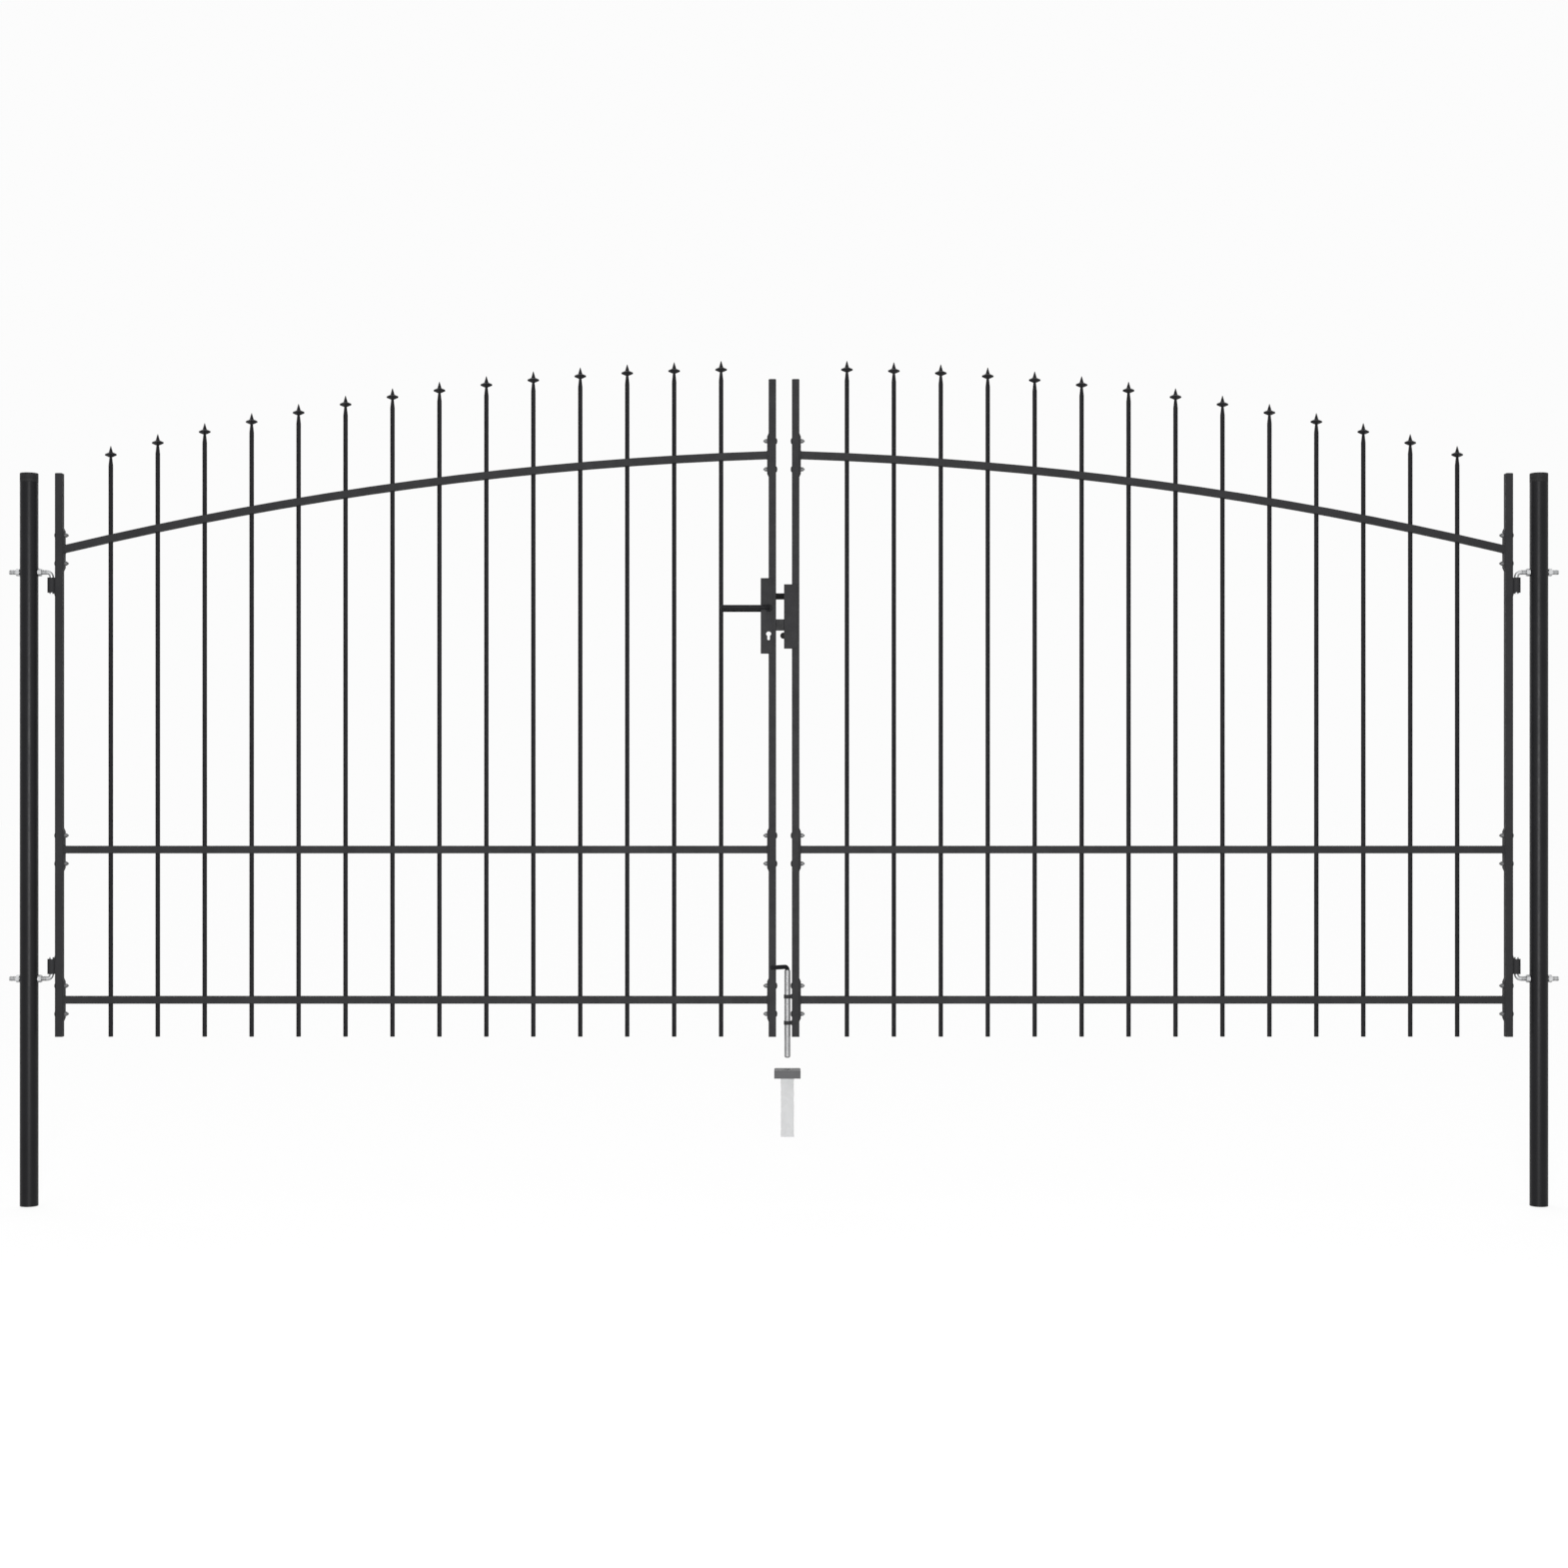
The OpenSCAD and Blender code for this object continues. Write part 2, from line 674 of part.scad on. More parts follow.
// Lever on the front: hub, neck, bend and a bar toward the hinges
module lever() {
    hub_y = plate_y + hub_gap;
    neck_y = lever_reach - lever_bend_r;
    seat_y = hub_y + spindle_depth;
    color(deep_black) translate([lock_axis_x, 0, lever_z]) difference() {
        union() {
            translate([0, -hub_y, 0]) rotate([90, 0, 0]) cylinder(d = hub_d, h = hub_h);
            translate([0, -hub_y, 0]) rotate([90, 0, 0])
                cylinder(d = lever_d, h = neck_y - hub_y);
            translate([-lever_bend_r, -neck_y, 0]) rotate([0, 0, -90])
                rotate_extrude(angle = 90) translate([lever_bend_r, 0]) circle(d = lever_d);
            translate([-lever_bend_r, -lever_reach, 0]) rotate([0, -90, 0])
                cylinder(d = lever_d, h = lever_len - lever_bend_r - lever_d / 2);
            translate([lever_d / 2 - lever_len, -lever_reach, 0]) sphere(d = lever_d);
        }
        translate([0, through - hub_y, 0]) rotate([90, 0, 0])
            cylinder(d = spindle_d + 2 * spindle_fit, h = seat_y - hub_y + through);
    }
}

module lever_spindle() {
    half = plate_y + hub_gap + spindle_depth - spindle_fit;
    color(zinc) translate([lock_axis_x, half, lever_z]) rotate([90, 0, 0])
        cylinder(d = spindle_d, h = 2 * half);
}

// Keeper plate on the front of the right leaf, over the meeting gap and the stile
module keeper_plate() {
    color(black) translate([keeper_x, -tube_half - keeper_plate_t, keeper_base])
        cube([keeper_w, keeper_plate_t, keeper_h]);
}

module strike_slot(z, h, t) {
    translate([keeper_x - through, -t / 2 - strike_fit, z - h / 2 - strike_fit])
        cube([strike_t + 2 * through, t + 2 * strike_fit, h + 2 * strike_fit]);
}

// Strike between the keeper plates, slotted for both bolts
module keeper_strike() {
    color(black) difference() {
        translate([keeper_x, -tube_half, keeper_base]) cube([strike_t, tube_w, keeper_h]);
        strike_slot(latch_z, latch_h, latch_t);
        strike_slot(deadbolt_z, deadbolt_h, deadbolt_t);
    }
}

// Round-nosed buffer on the strike, toward the lock
module keeper_buffer() {
    body_l = buffer_l - buffer_d / 2;
    color(deep_black) translate([keeper_x, 0, lock_mid + buffer_up]) rotate([0, -90, 0])
        union() {
            cylinder(d = buffer_d, h = body_l);
            translate([0, 0, body_l]) intersection() {
                sphere(d = buffer_d);
                cylinder(d = buffer_d, h = buffer_d);
            }
        }
}

// Ring with a lug to the right lock stile
module guide(z) {
    translate([drop_x, 0, leaf_z + z - guide_h / 2]) difference() {
        union() {
            cylinder(d = guide_d, h = guide_h);
            translate([0, -guide_d / 4, 0]) cube([drop_out, guide_d / 2, guide_h]);
        }
        translate([0, 0, -through]) cylinder(d = guide_bore_d, h = guide_h + 2 * through);
    }
}

module drop_bolt_guides() {
    color(deep_black) for (z = [guide_low_z, guide_high_z]) guide(z);
}

// Round rod with a chamfered end below and a socket for the handle above
module drop_bolt() {
    color(zinc) translate([drop_x, 0, 0]) difference() {
        union() {
            translate([0, 0, drop_tip_z])
                cylinder(d1 = drop_d - 2 * drop_chamfer, d2 = drop_d, h = drop_chamfer);
            translate([0, 0, drop_tip_z + drop_chamfer])
                cylinder(d = drop_d, h = rod_top - drop_tip_z - drop_chamfer);
        }
        translate([0, 0, rod_top - handle_depth])
            cylinder(d = handle_d + 2 * handle_fit, h = handle_depth + through);
    }
}

// Bar with its stem in the rod, bent over and turned to the front
module drop_bolt_handle() {
    color(deep_black) translate([drop_x, 0, rod_top]) rotate([0, 0, 180 + drop_handle_turn])
        union() {
            translate([0, 0, -handle_depth]) cylinder(d = handle_d, h = handle_depth);
            translate([handle_bend_r, 0, 0]) rotate([90, 0, 0]) rotate([0, 0, 90])
                rotate_extrude(angle = 90) translate([handle_bend_r, 0]) circle(d = handle_d);
            translate([handle_bend_r, 0, handle_bend_r]) rotate([0, 90, 0])
                cylinder(d = handle_d, h = drop_handle_l - handle_bend_r);
        }
}

module collar_profile() {
    half = collar_w / 2;
    c = collar_chamfer;
    linear_extrude(collar_w, center = true)
        polygon([[-half, 0], [half, 0], [half, collar_h - c], [half - c, collar_h],
                 [c - half, collar_h], [-half, collar_h - c]]);
}

module ground_socket_collar() {
    color(socket_grey) translate([drop_x, 0, collar_z]) difference() {
        intersection() {
            rotate([90, 0, 0]) collar_profile();
            rotate([90, 0, 90]) collar_profile();
        }
        translate([0, 0, -through]) cylinder(d = socket_bore_d, h = collar_h + 2 * through);
    }
}

module ground_socket_tube() {
    w = socket_tube_w;
    inner = w - 2 * socket_tube_t;
    color(zinc) translate([drop_x, 0, collar_z - socket_tube_l / 2]) difference() {
        cube([w, w, socket_tube_l], center = true);
        cube([inner, inner, socket_tube_l + 2 * through], center = true);
    }
}

post();  // left_post
on_right() post();  // right_post
post_cap();  // left_post_cap
on_right() post_cap();  // right_post_cap
upper_pintle();  // left_upper_pintle
lower_pintle();  // left_lower_pintle
on_right() upper_pintle();  // right_upper_pintle
on_right() lower_pintle();  // right_lower_pintle
hinge_nuts();  // left_hinge_nuts
on_right() hinge_nuts();  // right_hinge_nuts
ground_socket_collar();
ground_socket_tube();
hinge_stile();  // left_hinge_stile
slotted_lock_stile();  // left_lock_stile
stile_caps();  // left_stile_caps
hinge_barrels();  // left_hinge_barrels
top_rail();  // left_top_rail
straight_rail(mid_rail_z);  // left_mid_rail
straight_rail(bottom_rail_z);  // left_bottom_rail
pickets();  // left_pickets
spears();  // left_spears
lock_case();
lock_plate();  // lock_front_plate
mirror([0, 1, 0]) lock_plate();  // lock_back_plate
latch_bolt();
deadbolt();
lever();  // lever_front
mirror([0, 1, 0]) lever();  // lever_back
lever_spindle();
on_right() hinge_stile();  // right_hinge_stile
on_right() lock_stile();  // right_lock_stile
on_right() stile_caps();  // right_stile_caps
on_right() hinge_barrels();  // right_hinge_barrels
on_right() top_rail();  // right_top_rail
on_right() straight_rail(mid_rail_z);  // right_mid_rail
on_right() straight_rail(bottom_rail_z);  // right_bottom_rail
on_right() pickets();  // right_pickets
on_right() spears();  // right_spears
keeper_plate();  // keeper_front_plate
mirror([0, 1, 0]) keeper_plate();  // keeper_back_plate
keeper_strike();
keeper_buffer();
drop_bolt_guides();
drop_bolt();
drop_bolt_handle();
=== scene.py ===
import json
import math

import bmesh
import bpy
from bpy.props import FloatProperty, FloatVectorProperty, PointerProperty
from mathutils import Matrix, Vector

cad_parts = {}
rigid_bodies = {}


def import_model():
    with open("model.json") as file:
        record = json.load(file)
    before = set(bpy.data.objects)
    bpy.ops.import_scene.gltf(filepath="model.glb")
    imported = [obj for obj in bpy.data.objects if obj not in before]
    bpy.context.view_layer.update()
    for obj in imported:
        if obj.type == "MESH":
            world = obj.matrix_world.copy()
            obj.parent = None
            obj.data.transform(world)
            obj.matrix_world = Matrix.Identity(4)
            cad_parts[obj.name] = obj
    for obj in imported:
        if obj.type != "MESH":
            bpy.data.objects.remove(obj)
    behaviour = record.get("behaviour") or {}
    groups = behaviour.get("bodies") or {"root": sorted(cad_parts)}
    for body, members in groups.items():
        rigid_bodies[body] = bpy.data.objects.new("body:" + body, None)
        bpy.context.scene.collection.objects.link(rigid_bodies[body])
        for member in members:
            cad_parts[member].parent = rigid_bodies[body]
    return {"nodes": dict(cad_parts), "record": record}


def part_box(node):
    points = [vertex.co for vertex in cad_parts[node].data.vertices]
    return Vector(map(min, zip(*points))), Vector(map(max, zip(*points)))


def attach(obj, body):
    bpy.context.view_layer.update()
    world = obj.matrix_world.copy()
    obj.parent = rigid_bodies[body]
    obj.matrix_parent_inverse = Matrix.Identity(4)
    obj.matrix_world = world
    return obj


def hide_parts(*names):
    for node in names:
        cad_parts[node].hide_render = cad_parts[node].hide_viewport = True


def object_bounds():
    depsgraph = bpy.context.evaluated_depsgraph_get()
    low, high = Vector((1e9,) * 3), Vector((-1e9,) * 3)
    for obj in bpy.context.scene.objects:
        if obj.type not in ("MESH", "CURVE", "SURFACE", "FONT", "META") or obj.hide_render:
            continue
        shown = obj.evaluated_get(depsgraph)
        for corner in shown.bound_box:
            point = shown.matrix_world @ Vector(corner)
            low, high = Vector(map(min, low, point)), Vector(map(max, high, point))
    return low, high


for spare in list(bpy.data.objects):
    bpy.data.objects.remove(spare)
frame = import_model()
CAD_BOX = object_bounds()

bl_info = {
    "name": "Driveway Gate",
    "version": (1, 0, 0),
    "blender": (4, 5, 0),
    "location": "View3D > Sidebar > Gate",
    "description": "Finishes, fixings and studio for a double-leaf driveway gate",
    "category": "Object",
}

SIDES = ("left", "right")
RAILS = ("top_rail", "mid_rail", "bottom_rail")
PINTLES = ("upper_pintle", "lower_pintle")
UP = (0, 0, 1)
WHITE = (1, 1, 1, 1)
FINISHES = {}

# Usual span of a noise texture's values
NOISE_LOW = 0.3
NOISE_HIGH = 0.7

# Ball that rounds a nut's corners, as shares of the corner radius and the nut's height
NUT_ROUND = 1.02
NUT_CROWN = 0.9

# Core of a bolt's shank, as a share of its radius
SHANK_CORE = 0.92

# Radius of a thread's ridge, as a share of its pitch, and how far a bar's ridge is sunk in
SHANK_RIDGE = 0.34
BAR_RIDGE = 0.36
BAR_SINK = 0.45

# Ring inside a turned piece's foot, as a share of its radius
FOOT_RING = 0.9
HUB_RING = 0.8

# Gap between a post's end and its cap
CAP_LIFT = 0.0002

# Bead round a rail's end: its half width, and the share of it where its corners are cut
RAIL_BEAD = 0.0097
CORNER_CUT = 0.8

# Beads of a hinge barrel: distance from the leaf's middle, the stile and the barrel's ends
BARREL_BEAD = 0.0046
BARREL_LIFT = 0.0006
BARREL_END = 0.001

# Beads of a drop bolt guide: half their length, and their depth in the guide
GUIDE_BEAD = 0.0042
GUIDE_SINK = 0.0004

# Edges that meet at a wider angle than this stay sharp
SHARP_ANGLE = math.radians(35)

# Ways that the lights from behind and above point, and the angle that they fill
BACK_HEADING = (0.25, -1, -0.30)
TOP_HEADING = (0.15, 0.1, -1)
SUN_SPREAD = math.radians(90)

# Half of the floor's width, and the camera's sensor and reach
FLOOR_REACH = 60
SENSOR = 36
CLIP_END = 500


# Settings


class GateFinishSettings(bpy.types.PropertyGroup):
    """Colours of the gate's finishes, some of them darkened as painted shade"""

    coat: FloatVectorProperty(
        name="Coat", description="Matt powder coat of the leaves",
        default=(0.034, 0.034, 0.036), subtype="COLOR")
    # Darker than the leaves' coat: this extra darkness is painted shade on the round posts' sides
    post: FloatVectorProperty(
        name="Post coat", description="Satin powder coat of the posts",
        default=(0.013, 0.013, 0.0145), subtype="COLOR")
    # Darker than the leaves' coat: this extra darkness is painted shade on the round pickets,
    # spears, levers and drop bolt handle
    lever: FloatVectorProperty(
        name="Lever coat", description="Darker coat of the pickets, levers and drop bolt handle",
        default=(0.011, 0.011, 0.0125), subtype="COLOR")
    zinc: FloatVectorProperty(
        name="Zinc", description="Bright zinc plating of the pintles and hinge nuts",
        default=(0.44, 0.444, 0.45), subtype="COLOR")
    # Darker than the pintles' zinc: this extra darkness is painted shade and reflection on the
    # rod's sides
    rod_zinc: FloatVectorProperty(
        name="Rod zinc", description="Drawn and plated steel of the drop bolt's rod",
        default=(0.29, 0.292, 0.296), subtype="COLOR")
    # Duller plating, darkened further as painted shade in the threads' grooves and on the frame
    # nuts
    thread_zinc: FloatVectorProperty(
        name="Thread zinc", description="Duller plating on threads and frame nuts",
        default=(0.16, 0.162, 0.165), subtype="COLOR")
    galvanised: FloatVectorProperty(
        name="Galvanised", description="Dull galvanised steel of the socket's tube",
        default=(0.65, 0.655, 0.66), subtype="COLOR")
    socket: FloatVectorProperty(
        name="Socket", description="Mid-grey coat of the ground socket's collar",
        default=(0.125, 0.125, 0.129), subtype="COLOR")
    bolt: FloatVectorProperty(
        name="Deadbolt", description="Blackened steel of the deadbolt",
        default=(0.030, 0.030, 0.031), subtype="COLOR")
    # Darker than the deadbolt's steel: this extra darkness is painted shade on the latch bolt and
    # its bevel
    latch: FloatVectorProperty(
        name="Latch bolt", description="Deep black steel of the latch bolt",
        default=(0.007, 0.007, 0.007), subtype="COLOR")
    cap: FloatVectorProperty(
        name="Caps", description="Matt plastic of the post and stile caps",
        default=(0.019, 0.019, 0.020), subtype="COLOR")
    rubber: FloatVectorProperty(
        name="Buffer", description="Rubber of the keeper's buffer",
        default=(0.012, 0.012, 0.012), subtype="COLOR")


class GateShapeSettings(bpy.types.PropertyGroup):
    """Sizes of the caps, the levers, the lock's and keeper's plates and the collar"""

    cap_edge: FloatProperty(
        name="Cap edge", description="Rounding of a post cap's upper edge",
        default=0.002, unit="LENGTH", min=0.0005, max=0.006)
    cap_rim: FloatProperty(
        name="Cap rim", description="Height of a post cap's rim above its groove",
        default=0.014, unit="LENGTH", min=0.006, max=0.02)
    cap_groove: FloatProperty(
        name="Cap groove", description="Width and depth of the groove below the rim",
        default=0.0012, unit="LENGTH", min=0.0005, max=0.003)
    lever_width: FloatProperty(
        name="Lever width", description="Diameter of a lever's bar",
        default=0.0125, unit="LENGTH", min=0.011, max=0.017)
    lever_reach: FloatProperty(
        name="Lever reach", description="Distance from the leaf's middle to a lever's bar",
        default=0.046, unit="LENGTH", min=0.042, max=0.048)
    lever_bend: FloatProperty(
        name="Lever bend", description="Bend radius of a lever's bar",
        default=0.014, unit="LENGTH", min=0.01, max=0.018)
    hub_width: FloatProperty(
        name="Hub width", description="Diameter of a lever's hub",
        default=0.020, unit="LENGTH", min=0.014, max=0.022)
    hub_height: FloatProperty(
        name="Hub height", description="Height of a lever's hub",
        default=0.008, unit="LENGTH", min=0.004, max=0.012)
    hub_edge: FloatProperty(
        name="Hub edge", description="Rounding of a lever's hub",
        default=0.0012, unit="LENGTH", min=0.0004, max=0.003)
    lock_width: FloatProperty(
        name="Lock width", description="Width of the lock's plates",
        default=0.0315, unit="LENGTH", min=0.028, max=0.036)
    lock_height: FloatProperty(
        name="Lock height", description="Height of the lock's plates",
        default=0.200, unit="LENGTH", min=0.196, max=0.22)
    keeper_width: FloatProperty(
        name="Keeper width", description="Width of the keeper's plates",
        default=0.035, unit="LENGTH", min=0.03, max=0.036)
    keeper_height: FloatProperty(
        name="Keeper height", description="Height of the keeper's plates",
        default=0.170, unit="LENGTH", min=0.169, max=0.18)
    plate_edge: FloatProperty(
        name="Plate edge", description="Rounding of the plates' edges",
        default=0.0005, unit="LENGTH", min=0.0001, max=0.001)
    keyhole_width: FloatProperty(
        name="Keyhole width", description="Diameter of the round head of the keyhole",
        default=0.0136, unit="LENGTH", min=0.01, max=0.018)
    keyhole_slot: FloatProperty(
        name="Keyhole slot", description="Width of the slot below the keyhole's head",
        default=0.0068, unit="LENGTH", min=0.006, max=0.011)
    keyhole_height: FloatProperty(
        name="Keyhole height", description="Height of the whole keyhole",
        default=0.0245, unit="LENGTH", min=0.02, max=0.034)
    collar_height: FloatProperty(
        name="Collar height", description="Height of the ground socket's collar",
        default=0.0205, unit="LENGTH", min=0.015, max=0.026)
    collar_edge: FloatProperty(
        name="Collar edge", description="Chamfer round the top of the ground socket's collar",
        default=0.002, unit="LENGTH", min=0.001, max=0.006)
    collar_hole: FloatProperty(
        name="Collar hole", description="Diameter of the hole in the ground socket's collar",
        default=0.018, unit="LENGTH", min=0.015, max=0.03)


class GateFixingSettings(bpy.types.PropertyGroup):
    """Sizes of the bolts, threads and welds"""

    head_width: FloatProperty(
        name="Head width", description="Diameter of a frame bolt's mushroom head",
        default=0.016, unit="LENGTH", min=0.008, max=0.02)
    head_height: FloatProperty(
        name="Head height", description="Height of a frame bolt's mushroom head",
        default=0.0034, unit="LENGTH", min=0.002, max=0.0036)
    plate: FloatProperty(
        name="End plate", description="Thickness of the rails' end plates",
        default=0.004, unit="LENGTH", min=0.002, max=0.006)
    bolt_offset: FloatProperty(
        name="Bolt offset", description="Distance of a frame bolt above or below its rail",
        default=0.0375, unit="LENGTH", min=0.02, max=0.045)
    washer_width: FloatProperty(
        name="Washer width", description="Diameter of a frame bolt's washer",
        default=0.0125, unit="LENGTH", min=0.01, max=0.016)
    washer_height: FloatProperty(
        name="Washer height", description="Thickness of a frame bolt's washer",
        default=0.0016, unit="LENGTH", min=0.001, max=0.003)
    nut_width: FloatProperty(
        name="Nut width", description="Width over the flats of a frame bolt's nut",
        default=0.010, unit="LENGTH", min=0.008, max=0.013)
    nut_height: FloatProperty(
        name="Nut height", description="Height of a frame bolt's nut",
        default=0.005, unit="LENGTH", min=0.003, max=0.008)
    bolt_width: FloatProperty(
        name="Bolt width", description="Diameter of a frame bolt's shank",
        default=0.006, unit="LENGTH", min=0.005, max=0.008)
    bolt_end: FloatProperty(
        name="Bolt end", description="Length of shank that shows beyond a nut",
        default=0.0034, unit="LENGTH", min=0.001, max=0.008)
    shank_pitch: FloatProperty(
        name="Shank pitch", description="Pitch of the frame bolts' thread",
        default=0.001, unit="LENGTH", min=0.0008, max=0.0015)
    bar_pitch: FloatProperty(
        name="Bar pitch", description="Pitch of the pintle bars' thread",
        default=0.00175, unit="LENGTH", min=0.001, max=0.0025)
    bar_bend: FloatProperty(
        name="Bar bend", description="Bend radius of a pintle bar",
        default=0.012, unit="LENGTH", min=0.008, max=0.02)
    bead_radius: FloatProperty(
        name="Bead radius", description="Radius of a weld bead",
        default=0.0015, unit="LENGTH", min=0.001, max=0.003)
    bead_step: FloatProperty(
        name="Bead step", description="Distance between the ripples of a weld bead",
        default=0.0016, unit="LENGTH", min=0.001, max=0.004)
    barrel_height: FloatProperty(
        name="Barrel height", description="Height of a hinge barrel",
        default=0.040, unit="LENGTH", min=0.03, max=0.06)
    guide_height: FloatProperty(
        name="Guide height", description="Height of a drop bolt guide",
        default=0.010, unit="LENGTH", min=0.006, max=0.02)


class GateStageSettings(bpy.types.PropertyGroup):
    """Camera and light of the studio"""

    distance: FloatProperty(
        name="Distance", description="Distance from the camera to the gate",
        default=6.5, unit="LENGTH", min=3, max=20)
    half_view: FloatProperty(
        name="Half view", description="Half of the picture's width at the gate",
        default=2.0876, unit="LENGTH", min=1, max=6)
    eye_height: FloatProperty(
        name="Eye height", description="Height of the camera above the posts' feet",
        default=1.1226, unit="LENGTH", min=0.2, max=4)
    white: FloatProperty(
        name="White", description="Brightness of the backdrop",
        default=0.973, subtype="FACTOR", min=0.5, max=1)
    ambient: FloatProperty(
        name="Ambient", description="Even light from all round",
        default=0.06, subtype="FACTOR", min=0, max=1)
    floor_glow: FloatProperty(
        name="Floor glow", description="Brightness that the floor adds to its lit colour",
        default=0.858, subtype="FACTOR", min=0, max=1)
    floor_grey: FloatProperty(
        name="Floor grey", description="Share of light that the floor throws back",
        default=0.22, subtype="FACTOR", min=0, max=1)
    front_light: FloatProperty(
        name="Front light", description="Power of the soft box at the camera",
        default=350, unit="POWER", min=0, max=2000)
    front_size: FloatProperty(
        name="Front size", description="Width of the soft box at the camera",
        default=1.0, unit="LENGTH", min=0.2, max=4)
    back_light: FloatProperty(
        name="Back light", description="Strength of the light from behind",
        default=1.7, min=0, max=10)
    top_light: FloatProperty(
        name="Top light", description="Strength of the light from above",
        default=0.9, min=0, max=10)


# Materials


class TreeBuilder:
    """Adds nodes to an emptied tree and feeds their sockets"""

    def __init__(self, tree):
        self.tree = tree
        tree.nodes.clear()

    def node(self, kind, inputs=None, **values):
        node = self.tree.nodes.new(kind)
        for name, value in values.items():
            setattr(node, name, value)
        for socket, value in (inputs or {}).items():
            self.feed(node.inputs[socket], value)
        return node

    def feed(self, socket, value):
        """Links a socket to an output, or sets its own value"""
        if isinstance(value, bpy.types.NodeSocket):
            self.tree.links.new(value, socket)
        else:
            socket.default_value = value


class FinishTree(TreeBuilder):
    """Node tree of one finish, with its shader and its Object coordinates"""

    def __init__(self, name):
        self.material = bpy.data.materials.new(name)
        self.material.use_nodes = True
        super().__init__(self.material.node_tree)
        self.shader = self.node("ShaderNodeBsdfPrincipled")
        self.node("ShaderNodeOutputMaterial", {"Surface": self.shader.outputs["BSDF"]})
        self.place = self.node("ShaderNodeTexCoord").outputs["Object"]

    def shade(self, socket, value):
        self.feed(self.shader.inputs[socket], value)

    def stretched(self, scale):
        mapping = self.node("ShaderNodeMapping", {"Vector": self.place, "Scale": scale})
        return mapping.outputs["Vector"]

    def noise(self, scale, detail=2, place=None):
        return self.node("ShaderNodeTexNoise", {
            "Vector": place or self.place, "Scale": scale, "Detail": detail}).outputs["Fac"]

    def spangle(self, scale):
        cells = self.node("ShaderNodeTexVoronoi", {"Vector": self.place, "Scale": scale})
        split = self.node("ShaderNodeSeparateColor", {"Color": cells.outputs["Color"]})
        return split.outputs["Red"]

    def tint(self, fac, colour, spread, low=NOISE_LOW, high=NOISE_HIGH):
        """Colour that varies about its written value by a share of it"""
        ramp = self.node("ShaderNodeValToRGB", {"Fac": fac})
        first, last = ramp.color_ramp.elements
        first.position = low
        last.position = high
        first.color = [c * (1 - spread) for c in colour] + [1]
        last.color = [min(1, c * (1 + spread)) for c in colour] + [1]
        self.shade("Base Color", ramp.outputs["Color"])

    def gloss(self, fac, low, high):
        spread = self.node("ShaderNodeMapRange", {
            "Value": fac, "From Min": NOISE_LOW, "From Max": NOISE_HIGH,
            "To Min": low, "To Max": high})
        self.shade("Roughness", spread.outputs["Result"])

    def relief(self, height, strength, depth):
        bump = self.node("ShaderNodeBump", {
            "Height": height, "Strength": strength, "Distance": depth})
        self.shade("Normal", bump.outputs["Normal"])


def powder_coat(name, colour, gloss, level):
    """Coat with fine orange peel and slightly uneven gloss"""
    finish = FinishTree(name)
    finish.tint(finish.noise(scale=9, detail=4), colour, spread=0.12)
    finish.gloss(finish.noise(scale=55, detail=3), *gloss)
    finish.relief(finish.noise(scale=620), strength=0.16, depth=0.0004)
    finish.shade("Specular IOR Level", level)
    return finish.material


def plated_steel(name, colour, gloss, grain, metal):
    """Plated steel with cloudy gloss and fine drawing lines"""
    finish = FinishTree(name)
    finish.tint(finish.noise(scale=70, detail=5), colour, spread=0.10)
    finish.gloss(finish.noise(scale=130, detail=4), *gloss)
    lines = finish.noise(scale=1, detail=3, place=finish.stretched(grain))
    finish.relief(lines, strength=0.10, depth=0.0002)
    finish.shade("Metallic", metal)
    return finish.material


def galvanised_steel(name, colour, gloss, level):
    """Dull weathered zinc with the spangle of hot dipping"""
    finish = FinishTree(name)
    finish.tint(finish.spangle(scale=95), colour, spread=0.035, low=0.0, high=1.0)
    finish.gloss(finish.noise(scale=90, detail=4), *gloss)
    finish.relief(finish.noise(scale=400, detail=3), strength=0.10, depth=0.0003)
    finish.shade("Specular IOR Level", level)
    return finish.material


def blackened_steel(name, colour, gloss, grain, level):
    """Dark oxide on steel with fine grinding lines"""
    finish = FinishTree(name)
    lines = finish.noise(scale=1, detail=3, place=finish.stretched(grain))
    finish.tint(lines, colour, spread=0.30)
    finish.gloss(finish.noise(scale=90, detail=3), *gloss)
    finish.relief(lines, strength=0.12, depth=0.0002)
    finish.shade("Specular IOR Level", level)
    return finish.material


def moulded(name, colour, gloss, grain, level):
    """Matt moulded plastic or rubber with a fine grain"""
    finish = FinishTree(name)
    finish.tint(finish.noise(scale=25, detail=3), colour, spread=0.10)
    finish.gloss(finish.noise(scale=160, detail=3), *gloss)
    finish.relief(finish.noise(scale=grain), strength=0.22, depth=0.0003)
    finish.shade("Specular IOR Level", level)
    return finish.material


